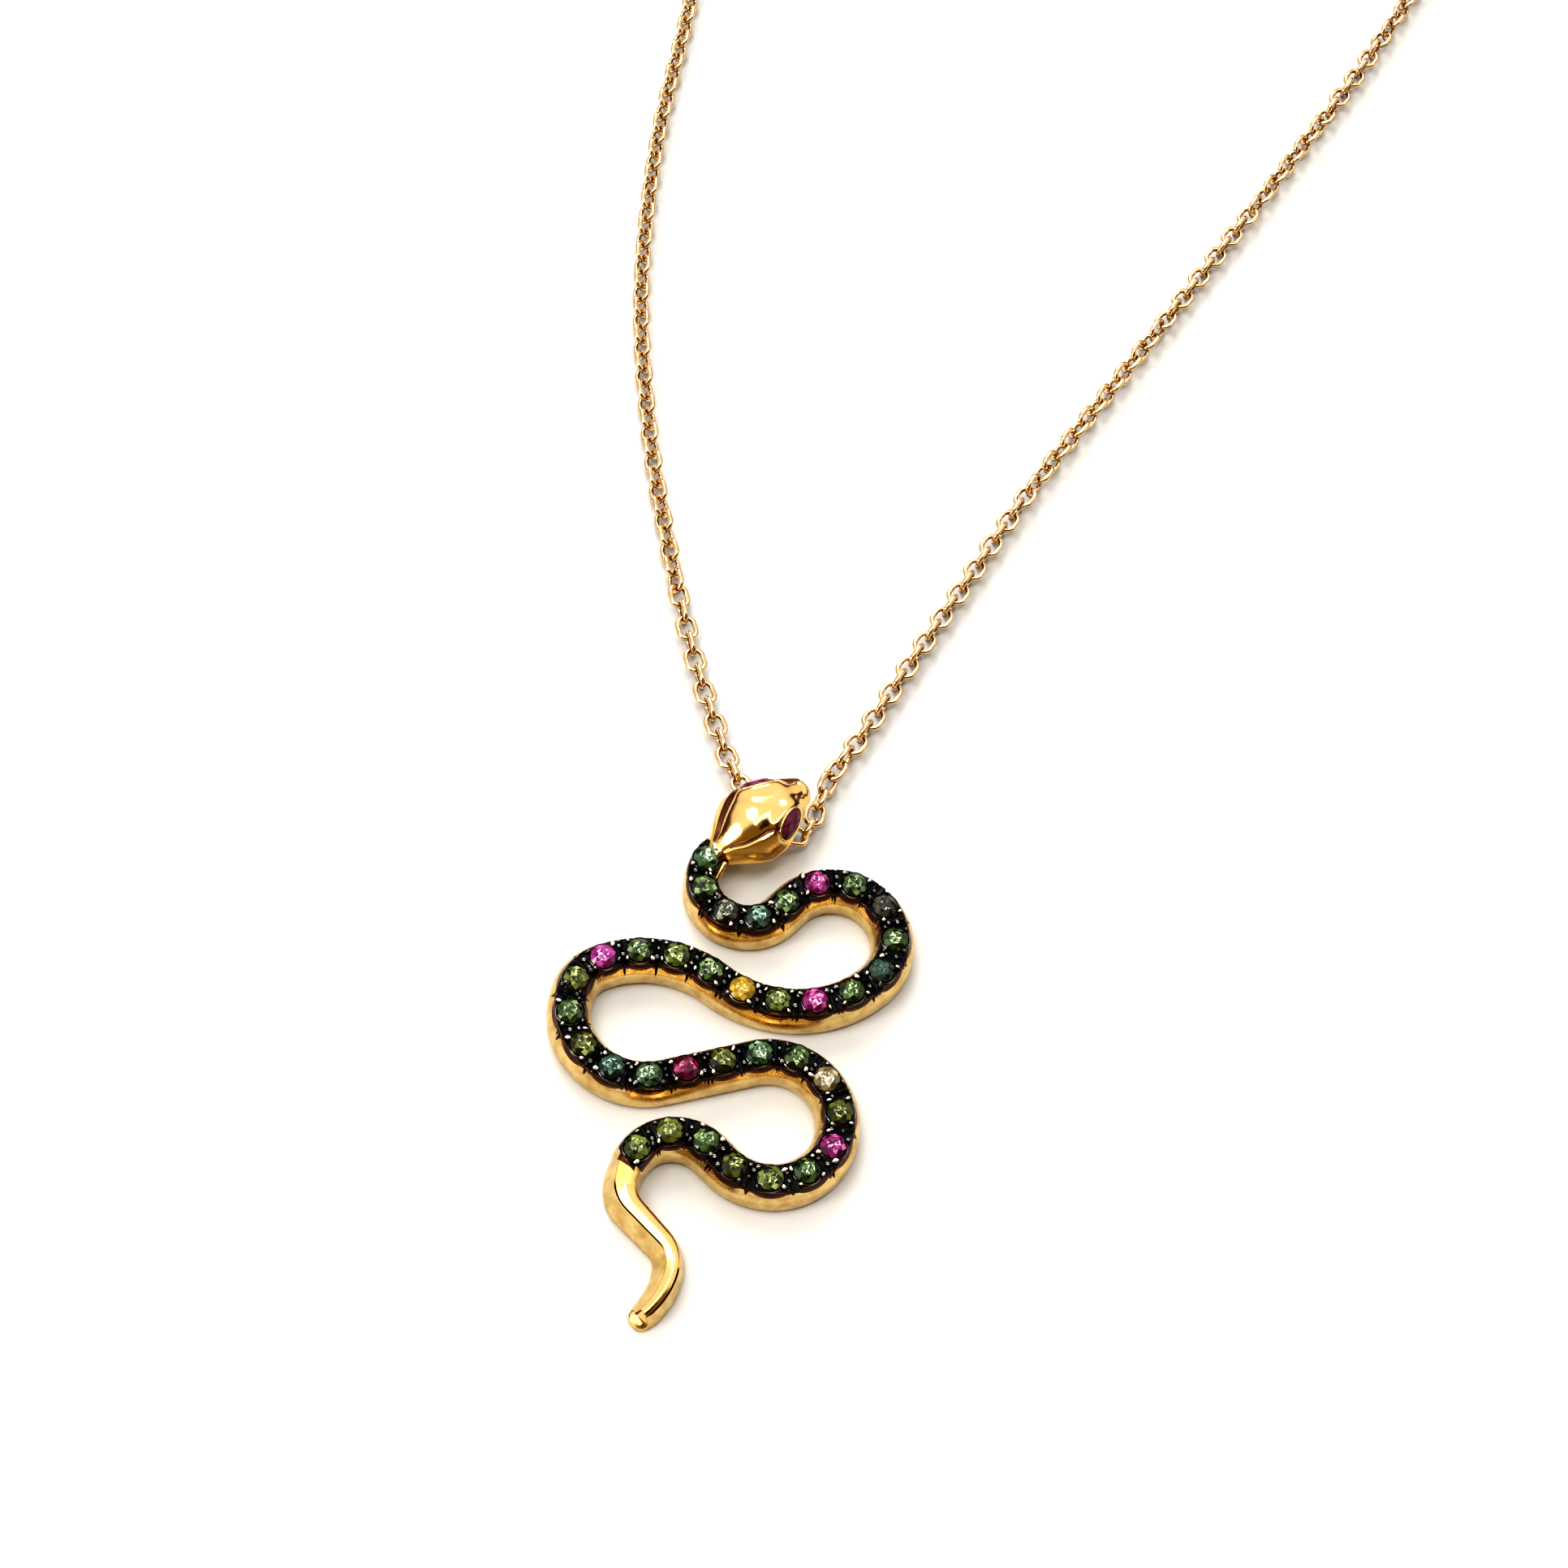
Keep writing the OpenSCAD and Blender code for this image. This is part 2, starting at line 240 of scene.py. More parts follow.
def cutStoneGroup():
    # painted light and dark facets of a small cut stone, standing in for its reflections and flashes, with a
    # faint cloud inside
    group, ins, outs = makeGroup("cutStone", {
        "Deep": (0.02, 0.08, 0.03, 1), "Body": (0.1, 0.35, 0.1, 1), "Flash": (0.6, 0.85, 0.5, 1),
        "Cloud Size": 2500,
    }, ["Colour", "Roughness"])
    facet = addNode(group, "ShaderNodeAttribute", attribute_name="facetShade")
    place = addNode(group, "ShaderNodeTexCoord")
    cloud = addNode(group, "ShaderNodeTexNoise", {"Detail": 2})
    spread = {1: 0.3, 2: -0.15}  # of a facet's shade by the cloud
    drift = addNode(group, "ShaderNodeMath", spread, operation="MULTIPLY_ADD")
    level = addNode(group, "ShaderNodeMath", operation="ADD", use_clamp=True)
    toBody = addNode(group, "ShaderNodeMapRange", {"From Min": 0.1, "From Max": 0.6})
    toFlash = addNode(group, "ShaderNodeMapRange", {"From Min": 0.62, "From Max": 0.95})
    dark, lit = [addNode(group, "ShaderNodeMix", data_type="RGBA") for _ in range(2)]
    rough = addNode(group, "ShaderNodeMapRange", {"To Min": 0.02, "To Max": 0.12})
    wire(group,
         (place, "Object", cloud, "Vector"), (ins, "Cloud Size", cloud, "Scale"),
         (cloud, "Fac", drift, 0), (facet, "Fac", level, 0), (drift, 0, level, 1),
         (level, 0, toBody, "Value"), (level, 0, toFlash, "Value"),
         (toBody, "Result", dark, "Factor"), (ins, "Deep", dark, mixA), (ins, "Body", dark, mixB),
         (toFlash, "Result", lit, "Factor"), (dark, mixed, lit, mixA), (ins, "Flash", lit, mixB),
         (lit, mixed, outs, "Colour"),
         (cloud, "Fac", rough, "Value"), (rough, "Result", outs, "Roughness"))
    return group


polishedMetal = polishedMetalGroup()
cutStone = cutStoneGroup()


# Finishes

def newMaterial(name, values):
    material = bpy.data.materials.new(name)
    material.use_nodes = True
    surface = material.node_tree.nodes["Principled BSDF"]
    for key, value in values.items():
        surface.inputs[key].default_value = value
    return material, material.node_tree, surface


# Each metal: its tone and its mottle's tone, then in pairs the mottle's amount and scale,
# roughness where smooth and where dull, and the bump's strength and depth
metals = {
    "castGold": [(0.76, 0.57, 0.26), (0.46, 0.29, 0.09), (0.7, 1500), (0.14, 0.32), (0.2, 0.04)],
    "brightGold": [(0.8, 0.57, 0.24), (0.72, 0.47, 0.16), (0.6, 900), (0.08, 0.15), (0.25, 0.04)],
    "roseGold": [(0.84, 0.62, 0.36), (0.52, 0.33, 0.15), (0.5, 1400), (0.08, 0.2), (0.2, 0.02)],
    # painted shade for the under side of the chain's wire
    "rosePaintedShade": [(0.36, 0.21, 0.085), (0.16, 0.07, 0.02), (0.8, 1400), (0.15, 0.3), (0.2, 0.02)],
    "blackRhodium": [(0.004, 0.004, 0.005), (0.001, 0.001, 0.001), (0.8, 2600), (0.12, 0.35), (0.7, 0.05)],
    # gray painted glints on the cups' rims, bead tips and stub tops
    "rimGlint": [(0.01, 0.009, 0.01), (0.36, 0.34, 0.31), (1, 1300), (0.12, 0.3), (0.3, 0.02)],
    # white painted glints on the bead tips and the neck's prongs
    "beadTipGlints": [(0.95, 0.93, 0.9), (0.85, 0.62, 0.36), (0.8, 700), (0.06, 0.25), (0.4, 0.03)],
    "satinGold": [(0.92, 0.63, 0.22), (0.8, 0.52, 0.15), (0.6, 600), (0.26, 0.34), (0.06, 0.02)],
    # dark maroon painted shade and painted dark reflections: in creases, the hollow, under the black edge,
    # along the head's lines and on one side of the neck bar
    "paintedShadeGold": [(0.09, 0.022, 0.01), (0.17, 0.065, 0.02), (0.8, 1500), (0.15, 0.3), (0.4, 0.03)],
}
# The rest are wholly metallic
metalSurfaces = {
    "blackRhodium": {"Metallic": 0, "Specular IOR Level": 0.12},
    "paintedShadeGold": {"Metallic": 0.8},
}


def metalFinish(name, row):
    tone, shadow, (mottle, size), (smooth, dull), (strength, depth) = row
    material, tree, surface = newMaterial(name, metalSurfaces.get(name, {"Metallic": 1}))
    marks = addNode(tree, "ShaderNodeGroup", {
        "Metal": (*tone, 1), "Shadow Tone": (*shadow, 1), "Mottle": mottle, "Mottle Size": size,
        "Smooth Roughness": smooth, "Dull Roughness": dull,
    }, node_tree=polishedMetal)
    bump = addNode(tree, "ShaderNodeBump", {"Strength": strength, "Distance": depth * mm})
    wire(tree, (marks, "Colour", surface, "Base Color"), (marks, "Roughness", surface, "Roughness"),
         (marks, "Height", bump, "Height"), (bump, "Normal", surface, "Normal"))
    return material


metalLooks = {name: metalFinish(name, row) for name, row in metals.items()}

# Each stone colour: the painted dark facets' tone, the body tone and the painted flashes' tone, and the
# record's slot
stoneColours = {
    "leafGreen": [((0.004, 0.01, 0.003), (0.11, 0.185, 0.06), (0.76, 0.98, 0.56)), "green_sapphire"],
    "mintGreen": [((0.005, 0.014, 0.008), (0.15, 0.275, 0.13), (0.92, 1, 0.84)), "green_sapphire"],
    "tealGreen": [((0.003, 0.008, 0.006), (0.07, 0.15, 0.105), (0.56, 0.85, 0.68)), "teal_sapphire"],
    "inkGreen": [((0.003, 0.004, 0.003), (0.07, 0.072, 0.055), (0.72, 0.76, 0.62)), "teal_sapphire"],
    "olive": [((0.008, 0.01, 0.002), (0.18, 0.205, 0.045), (0.9, 0.95, 0.45)), "olive_sapphire"],
    "lime": [((0.008, 0.012, 0.003), (0.24, 0.31, 0.07), (1, 1, 0.62)), "olive_sapphire"],
    "champagne": [((0.015, 0.009, 0.003), (0.38, 0.3, 0.14), (1, 1, 0.92)), "olive_sapphire"],
    "pink": [((0.06, 0.001, 0.032), (0.47, 0.045, 0.26), (1, 0.6, 0.95)), "pink_sapphire"],
    "orchid": [((0.08, 0.002, 0.055), (0.52, 0.07, 0.37), (1, 0.68, 1)), "pink_sapphire"],
    "magenta": [((0.045, 0.001, 0.012), (0.33, 0.018, 0.1), (0.95, 0.42, 0.6)), "pink_sapphire"],
    "yellow": [((0.11, 0.05, 0.002), (0.6, 0.42, 0.04), (1, 0.93, 0.55)), "yellow_sapphire"],
    "plum": [((0.09, 0.01, 0.028), (0.18, 0.028, 0.068), (0.3, 0.07, 0.15)), "ruby"],
}
stoneSurface = {"IOR": 1.77, "Transmission Weight": 0.15, "Specular IOR Level": 0.2}
softSurface = {**stoneSurface, "Specular IOR Level": 0.05}  # for the plum eyes


def stoneFinish(name, tones):
    material, tree, surface = newMaterial(name, softSurface if name == "plum" else stoneSurface)
    values = {label: (*tone, 1) for label, tone in zip(("Deep", "Body", "Flash"), tones)}
    shades = addNode(tree, "ShaderNodeGroup", values, node_tree=cutStone)
    wire(tree, (shades, "Colour", surface, "Base Color"), (shades, "Roughness", surface, "Roughness"))
    return material


stoneLooks = {name: stoneFinish(name, row[0]) for name, row in stoneColours.items()}
print("finishes made")


# The body's centre line: tangent arcs from the neck to the tail tip

bodySetup = {
    "baseWidth": 2.06, "topWidth": 1.4, "height": 1.5,
    "start": -1.3, "neckHeading": -126,
    "middleBend": 5,  # the middle of the straight run after this bend is at x = y = 0
    "bends": [  # radius, turn in degrees, straight run after the bend
        (2.15, 183, 0.8), (2.75, -183, 0), (5.65, -81, 0), (5.3, 63, 0), (2, 44, 0),
        (3.4, 126, 4.25), (3.05, -241, 0.75), (2.2, 99, 0), (3.3, 23.5, 0), (1.6, 57.5, 1.9),
        (1.4, -53, 0), (3.6, -38.5, 0.6),
    ],
}
legs = []  # radius, side and length of each arc and straight run
for radius, turn, straight in bodySetup["bends"]:
    legs.append((radius, copysign(1, turn), radius * radians(abs(turn))))
    legs.append((0, 0, straight))
bodyLength = sum(leg[2] for leg in legs)


def alongLeg(x, y, heading, leg, distance):
    radius, side, _ = leg
    if side == 0:
        return x + distance * cos(heading), y + distance * sin(heading), heading
    turned = heading + side * distance / radius
    return (x + side * radius * (sin(turned) - sin(heading)),
            y - side * radius * (cos(turned) - cos(heading)), turned)


def walk(station):
    spot = (0, 0, radians(bodySetup["neckHeading"]))
    for i, leg in enumerate(legs):
        if station <= leg[2] or i == len(legs) - 1:
            return alongLeg(*spot, leg, station)
        spot = alongLeg(*spot, leg, leg[2])
        station -= leg[2]


middleLegs = legs[:2 * bodySetup["middleBend"] + 2]
middleX, middleY, _ = walk(sum(leg[2] for leg in middleLegs) - middleLegs[-1][2] / 2)


def place(station):
    # x, y and heading at a distance along the body
    x, y, heading = walk(station)
    return x - middleX, y - middleY, heading


stoneSetup = {
    "cut": {"long": 1.2, "wide": 1.2, "girdle": 0.05, "crown": 0.19, "pavilion": 0.5},
    "lift": 0.06, "first": 0.85,
    "runs": [(4, 1.59), (7, 1.79), (24, 1.715)],  # number of gaps, spacing
    "lean": 3,  # degrees, either way
}
stoneHalf = stoneSetup["cut"]["long"] / 2
stations = [stoneSetup["first"]]
for count, spacing in stoneSetup["runs"]:
    for _ in range(count):
        stations.append(stations[-1] + spacing)
bandEnd = stations[-1] + stoneHalf


def alongBody(front, band, tip, size=1):
    # rows for smoothValue from three lists: places from the neck, from bandEnd and before the tip
    rows = front + [(bandEnd + at, value) for at, value in band]
    rows += [(bodyLength - at, value) for at, value in tip]
    return [(at, size * value) for at, value in rows]


# Half widths of the foot and of the top, and heights, as shares of the body's whole ones
neck, first = bodySetup["start"], stoneSetup["first"]
bases = alongBody([(neck, 0.3), (first, 0.37), (2.4, 0.44), (4.2, 0.5)],
                  [(-4, 0.5), (-1, 0.45), (0.6, 0.41), (2.5, 0.36)],
                  [(2.2, 0.34), (0.8, 0.31), (0.45, 0.28), (0.25, 0.24), (0.1, 0.17), (0, 0.07)],
                  bodySetup["baseWidth"])
tops = alongBody([(neck, 0.34), (first, 0.48), (2.4, 0.5)], [(-0.1, 0.5), (0.25, 0.26)],
                 [(0.7, 0.17), (0, 0.05)], bodySetup["topWidth"])
heights = alongBody([(neck, 1.2), (-0.2, 1.02), (0.2, 1)], [(0.3, 1)],
                    [(2.5, 0.76), (0.7, 0.58), (0.2, 0.44), (0, 0.22)], bodySetup["height"])

bandSetup = {
    "start": 0.05, "blackEnd": -0.04,  # the black band's ends: the second from bandEnd
    "edge": 0.97,  # black edge between stones, share of the height
    "dip": 0.15,  # how far it dips under a stone, share of the height
    "dipReach": 0.66,  # along the body, each way from a stone
    "grooves": [(-0.165, 0.03, 0.11), (0, 0.1, 0.17), (0.165, 0.03, 0.11)],  # place, depths
    "grooveShift": 0.02, "grooveHalf": 0.09, "grooveSides": (0.3, 1),  # share of the depth at the edges
    "teeth": 2.3, "wallCut": 0.4,  # how far grooves run down the edge and into the wall
    "sink": 0.03, "seat": 0.22, "seatRim": 0.02,  # of the top, and of the seats in it
    "wallRows": 16, "rowSpread": 1.35,  # rows up to the black edge, closer together low down
    "lipRows": (0.35, 0.7, 1), "lipTop": 0.985, "topColumns": 15,
    # wall: share of the height, share of the half base, share of the half top
    "wall": [
        (0, 0.84, 0), (0.03, 0.92, 0), (0.1, 0.97, 0), (0.24, 1, 0),
        (0.42, 0.95, 0.05), (0.56, 0.8, 0.21), (0.7, 0.45, 0.58), (0.8, 0.1, 0.95),
        (0.85, 0, 1.04), (0.95, 0, 1), (1, 0, 0.92),
    ],
}
wallRows, topColumns = bandSetup["wallRows"], bandSetup["topColumns"]
sideRows = wallRows + len(bandSetup["lipRows"])

# Crease 1 is on the body's right side, which is seen on the left here, and -1 on its left
tailSetup = {
    "blend": 0.05,  # the band turns into the tail over this, each way from bandEnd
    "crestHalf": alongBody([], [(0, 0.52), (1, 0.47), (2.3, 0.38), (4, 0.32)],
                           [(2.5, 0.25), (0.6, 0.2), (0, 0.1)]),
    "crestShift": alongBody([], [(0, -0.12), (1, -0.18), (3.5, -0.14)],
                            [(2.6, -0.12), (0.8, -0.06), (0, 0)]),
    "crestMost": 0.6,  # half width at most, share of the half base
    "crestRise": 0.38,  # share of its half width
    "crease": {
        1: alongBody([], [(0.7, 0.02), (1.4, 0.09), (4.3, 0.09), (5, 0.02)], []),
        -1: alongBody([], [], [(3.3, 0.02), (2.6, 0.09), (0.8, 0.09), (0.5, 0.02)]),
    },
    "creaseRows": [(1, 0.25), (0.45, -0.9), (0, -0.3)],  # out from the crest and up, for its depth
    "foot": [(0.86, 0), (0.95, 0.02), (1, 0.09), (0.99, 0.2)],  # share of the half base, of the height
    "flankBulge": 0.85,
    "drop": 0.45, "dropAt": (0.38, 0.62),  # share the crest drops by, and where, from the tip
    "round": 0.3, "roundLeast": 0.12, "roundFall": 0.7,  # the tip closes as a round end
    "domeWide": 0.8, "domeHigh": 0.5,
    # where the crest turns polished, and where the creases get painted shade: from bandEnd on one side, from
    # the tip on the other
    "brightFrom": 1.25, "upperPaintedShade": (1.1, 4.8), "lowerPaintedShade": (0.55, 3),
}
# Hollow between the last stone and the crest
slotSetup = {
    "at": 0.07, "across": 0.19,  # its middle, from bandEnd and from the crest's middle
    "half": 0.18, "wide": 0.45, "depth": 0.22, "steep": 5,
    "above": 0.6, "paintedShadeAbove": 1,  # only what is higher sinks, and gets painted shade
    "slant": 0.34, "slantFull": 0.3, "slantBefore": 0.75, "slantAfter": 1.5,
    "leanFrom": 0.5, "leanOver": 0.6,  # heights where a slice begins to lean, and leans in full
}


def nearestStone(station):
    return min(abs(station - s) for s in stations)


gaps = []  # middle of each gap between stones, and its grooves as (place, depth, right, left)
for before, after in zip(stations, stations[1:]):
    grooves = []
    for offset, least, most in bandSetup["grooves"]:
        depth = random.uniform(least, most)
        offset += random.uniform(-bandSetup["grooveShift"], bandSetup["grooveShift"])
        sides = [random.uniform(*bandSetup["grooveSides"]) for _ in range(2)]
        grooves.append((offset, depth, *sides))
    gaps.append(((before + after) / 2, grooves))


def grooveCut(station, side):
    # depth of the cross grooves at a place; side 1 and -1 are the band's edges, 0 is its top
    middle, grooves = min(gaps, key=lambda gap: abs(gap[0] - station))
    cut = 0
    for offset, depth, right, left in grooves:
        off = abs(station - middle - offset) / bandSetup["grooveHalf"]
        if off < 1:
            share = {1: right, -1: left, 0: 1}[side]
            cut = max(cut, depth * share * (1 - off) ** 0.5)
    return cut


def edgeShare(station, side):
    # height of the black edge, as a share of the body's
    b = bandSetup
    if station > bandEnd - tailSetup["blend"]:
        return b["edge"]
    reach = nearestStone(station) / b["dipReach"]
    arch = sqrt(max(0, 1 - reach * reach))
    return b["edge"] - max(b["dip"] * arch, b["teeth"] * grooveCut(station, side))


def topDrop(station, across):
    inSeat = hypot(nearestStone(station), across) < stoneHalf - bandSetup["seatRim"]
    return bandSetup["sink"] + (bandSetup["seat"] if inSeat else 0) + grooveCut(station, 0)


def bandRing(station):
    # outline of a slice, as (across, height), from the right foot over the top to the left foot
    b = bandSetup
    base, top, height = [smoothValue(t, station) for t in (bases, tops, heights)]
    shape = [(z * height, u * base + v * top) for z, u, v in b["wall"]]
    walls = {}
    for side in (1, -1):
        edge = edgeShare(station, side) * height
        cut = grooveCut(station, side) * b["wallCut"]
        wall = []
        for k in range(wallRows + 1):
            z = edge * (k / wallRows) ** b["rowSpread"]
            wall.append((side * smoothValue(shape, z), z))
        for share in b["lipRows"]:
            z = lerp(edge, height * b["lipTop"], share)
            wall.append((side * (smoothValue(shape, z) - cut * share), z - cut * share * share))
        walls[side] = wall
    rightRim, leftRim = [walls[side][-1][0] * b["lipTop"] for side in (1, -1)]
    flat = []
    for k in range(topColumns):
        across = lerp(rightRim, leftRim, (k + 0.5) / topColumns)
        flat.append((across, height - topDrop(station, across)))
    return walls[1] + flat + walls[-1][::-1]


def tailRing(station):
    # flared flanks with a rounded crest between two creases
    s = tailSetup
    base, height = [smoothValue(t, station) for t in (bases, heights)]
    crest, shift = [smoothValue(s[key], station) for key in ("crestHalf", "crestShift")]
    toTip = bodyLength - station
    if toTip < s["round"]:
        share = 1 - toTip / s["round"]
        closing = max(s["roundLeast"], sqrt(max(0, 1 - share * share)))
        base, height = [smoothValue(t, bodyLength - s["round"]) for t in (bases, heights)]
        base *= closing
        height *= closing ** s["roundFall"]
    dropped = smoothValue([(s["dropAt"][0], 1), (s["dropAt"][1], 0)], toTip)
    height *= 1 - s["drop"] * dropped
    crest = min(crest, base * s["crestMost"])
    rise = crest * s["crestRise"]
    middle = height - rise

    def flankOf(side):
        crease = smoothValue(s["crease"][side], station) * (1 - dropped)
        points = [(side * u * base, z * height) for u, z in s["foot"]]
        foot = points[-1]
        shoulder, groove, edge = [(shift + side * (crest + crease * u), middle + crease * z)
                                  for u, z in s["creaseRows"]]
        rows = sideRows - len(points)
        for k in range(1, rows):
            t = k / (rows - 1)
            points.append((lerp(foot[0], shoulder[0], t), lerp(foot[1], shoulder[1], t ** s["flankBulge"])))
        return points + [groove, edge]

    arc = []
    for k in range(topColumns):
        t = cos(pi * (k + 0.5) / topColumns)
        arc.append((shift + crest * t, middle + rise * (1 - (t if t > 0 else t * t))))
    outline = flankOf(1) + arc + flankOf(-1)[::-1]
    if dropped > 0:
        for k, (across, z) in enumerate(outline):
            a = pi * k / (len(outline) - 1)
            domeX = base * copysign(abs(cos(a)) ** s["domeWide"], cos(a))
            domeZ = height * sin(a) ** s["domeHigh"]
            outline[k] = (lerp(across, domeX, dropped), lerp(z, domeZ, dropped))
    return outline


def inSlot(station, across):
    # 0 at the hollow's rim and outside it, 1 in its middle
    s = slotSetup
    off = (across - smoothValue(tailSetup["crestShift"], station) - s["across"]) / s["wide"]
    along = (station - bandEnd - s["at"]) / s["half"]
    return min(1, max(0, 1 - max(abs(off), abs(along))) * s["steep"])


def outlineAt(station):
    half = tailSetup["blend"]
    t = (station - bandEnd + half) / (2 * half)
    if t <= 0:
        return bandRing(station)
    if t >= 1:
        return tailRing(station)
    pairs = zip(bandRing(station), tailRing(station))
    return [(lerp(a[0], b[0], t), lerp(a[1], b[1], t)) for a, b in pairs]


def bodyRing(station):
    # a slice in its place; slices beside the hollow lean along it
    s = slotSetup
    x, y, heading = place(station)
    aheadX, aheadY = cos(heading), sin(heading)
    fromSlot = station - bandEnd - s["at"]
    reach = s["slantBefore"] if fromSlot < 0 else s["slantAfter"]
    slant = s["slant"] * smoothValue([(-reach, 0), (-s["slantFull"], 1)], -abs(fromSlot))
    ring = []
    for u, z in outlineAt(station):
        lean = -slant * (u - s["across"]) * ramp(z, s["leanFrom"], s["leanOver"])
        if z > s["above"]:
            z -= s["depth"] * inSlot(station, u)
        ring.append((x + aheadY * u + lean * aheadX, y - aheadX * u + lean * aheadY, z))
    return ring


sliceSetup = {
    "plain": 0.1, "neckSteps": 14, "stoneSteps": 8,  # in the neck, and each way from the first stone
    "groove": 0.03, "grooveSteps": 9, "betweenSteps": 10, "lastGap": 1.7,
    "slot": 0.02, "slotSteps": 38, "tailSteps": 60, "tipFrom": 0.7, "tip": 0.04, "tipSteps": 13,
    "tipEnds": (0.2, 0.15, 0.1, 0.07, 0.04, 0.02, 0.01, 0),
}


def bodyStations():
    # where the slices lie: closer together at the grooves, the hollow and the tip
    s = sliceSetup

    def steps(start, step, first, last):
        return [start + step * k for k in range(first, last)]

    n, m, near = s["grooveSteps"], s["betweenSteps"], s["stoneSteps"]
    clear = s["groove"] * n
    spots = steps(bodySetup["start"], s["plain"], 0, s["neckSteps"])
    spots += steps(stations[0], s["plain"], -near, near)
    middles = [middle for middle, _ in gaps]
    for a, b in zip(middles, middles[1:] + [middles[-1] + s["lastGap"]]):
        spots += steps(a, s["groove"], 1 - n, n)
        spots += [lerp(a + clear, b - clear, k / m) for k in range(m + 1)]
    spots = [spot for spot in spots if spot < bandEnd]
    spots += steps(bandEnd, s["slot"], 0, s["slotSteps"])
    tail, tip = bandEnd + s["slot"] * s["slotSteps"], bodyLength - s["tipFrom"]
    spots += [lerp(tail, tip, k / s["tailSteps"]) for k in range(s["tailSteps"])]
    spots += steps(tip, s["tip"], 0, s["tipSteps"])
    spots += [bodyLength - toTip for toTip in s["tipEnds"]]
    return sorted(set(round(spot, 4) for spot in spots))


# The casting's finishes, in the order of its material slots
castingLooks = ("castGold", "blackRhodium", "beadTipGlints", "brightGold", "rimGlint", "paintedShadeGold", "satinGold")
gold, black, bead, bright, rim, paintedShade, satin = range(len(castingLooks))
casting = Shell()


def addBody():
    spots = bodyStations()
    columns = 2 * (sideRows + 1) + topColumns
    s = tailSetup

    def lookAt(i, k):
        station = (spots[i] + spots[i + 1]) / 2
        fromBand, toTip = station - bandEnd, bodyLength - station
        row = min(k, columns - 2 - k)
        # painted shade inside the hollow beside the last stone
        if abs(fromBand - slotSetup["at"]) < slotSetup["half"] and row > wallRows / 2:
            a, b = outlineAt(station)[k:k + 2]
            if min(a[1], b[1]) > slotSetup["paintedShadeAbove"] and inSlot(station, (a[0] + b[0]) / 2) > 0:
                return paintedShade
        if fromBand < bandSetup["blackEnd"]:
            if station < bandSetup["start"] or row < wallRows - 1:
                return gold
            return paintedShade if row in (wallRows - 1, wallRows + 2) else black  # painted shade under the black edge, and a painted dark line at the band's top edge
        if row >= sideRows:
            # painted shade on the crest where it drops near the tip
            if within(toTip, s["dropAt"]) and k < sideRows + topColumns / 3:
                return paintedShade
            return bright if fromBand > s["brightFrom"] and toTip > s["dropAt"][0] else satin
        # painted shade in the creases beside the crest
        inPaintedShade = within(fromBand, s["upperPaintedShade"]) if k < columns / 2 else within(toTip, s["lowerPaintedShade"])
        return paintedShade if row > wallRows and inPaintedShade else gold

    casting.addGrid([bodyRing(spot) for spot in spots], lookAt)


def addLathe(spot, profile, sides, lookAt, axes=None, size=1, caps=True):
    # turns (radius, height) rows round an upright or given axis; size stretches the radii
    right, ahead, up = axes or (Vector((1, 0, 0)), Vector((0, 1, 0)), upright)
    rings = [circle(Vector(spot) + up * z, right * size * r, ahead * size * r, sides) for r, z in profile]
    casting.addGrid(rings, lookAt, caps)


# Cup round each stone: radii, and heights from the top of the band
cupSetup = {
    "sides": 36,
    "profile": [(0.5, -0.6), (0.61, -0.39), (0.67, -0.18), (0.69, -0.03), (0.678, 0.027),
                (0.655, 0.045), (0.637, 0.036), (0.625, 0), (0.605, -0.2), (0.3, -0.35)],
    "glintRows": (3, 4),
}


def addCups():
    c = cupSetup
    for station in stations:
        x, y, _ = place(station)
        # the rows at the cup's lip get gray painted glints
        addLathe((x, y, bodySetup["height"]), c["profile"], c["sides"],
                 lambda i, k: rim if i in c["glintRows"] else black)


beadSetup = {
    "size": 0.21, "angle": 38, "gap": 0.02, "top": 0.24, "sides": 12,
    "turn": 6, "sink": 0.05, "lean": 0.35, "stretch": (0.7, 1.45), "scale": (0.7, 1.25),
    "bright": 0.55,  # share of the beads with white painted glints on their tips; the rest get gray ones
    "tipRow": 3,
    # shares of the radius, and heights from the top
    "profile": [(1.15, -0.36), (1.05, -0.18), (1, -0.08), (0.95, -0.05), (0.72, -0.015),
                (0.38, -0.003), (0.08, 0)],
}


def addBeads():
    b = beadSetup
    r = b["size"] / 2
    reach = stoneHalf + b["gap"] + r
    top = bodySetup["height"] + b["top"]
    corners = [(end, side) for end in (0, 180) for side in (-1, 1)]
    for station in stations:
        x, y, heading = place(station)
        for end, side in corners:
            if station == stations[-1] and (end, side) == (0, -1):
                continue  # the hollow is there
            a = heading + radians(end + side * (b["angle"] + random.uniform(-b["turn"], b["turn"])))
            outward = levelAxes(a)[0]
            spot = Vector((x, y, top - random.uniform(0, b["sink"]))) + outward * reach
            right, ahead = levelAxes(random.uniform(0, pi))
            stretch = random.uniform(*b["stretch"])
            scale = random.uniform(*b["scale"])
            # each bead tip gets a white or a gray painted glint
            tip = bead if random.random() < b["bright"] else rim
            axes = (right * scale * stretch, ahead * scale / stretch,
                    upright - outward * random.uniform(0, b["lean"]))
            addLathe(spot, b["profile"], b["sides"], lambda i, k: tip if i >= b["tipRow"] else black,
                     axes, r)


# Stubs of cut metal between the beads, their tops with gray painted glints
studSetup = {
    "size": 0.16, "top": 0.08, "across": (-0.2, 0.25), "sides": 8,
    "shiftAlong": 0.08, "shiftAcross": 0.1, "shiftUp": 0.03, "scale": (0.8, 1.4),
    "profile": [(1.2, -0.3), (1, -0.05), (0.8, -0.01), (0.3, 0)],
}


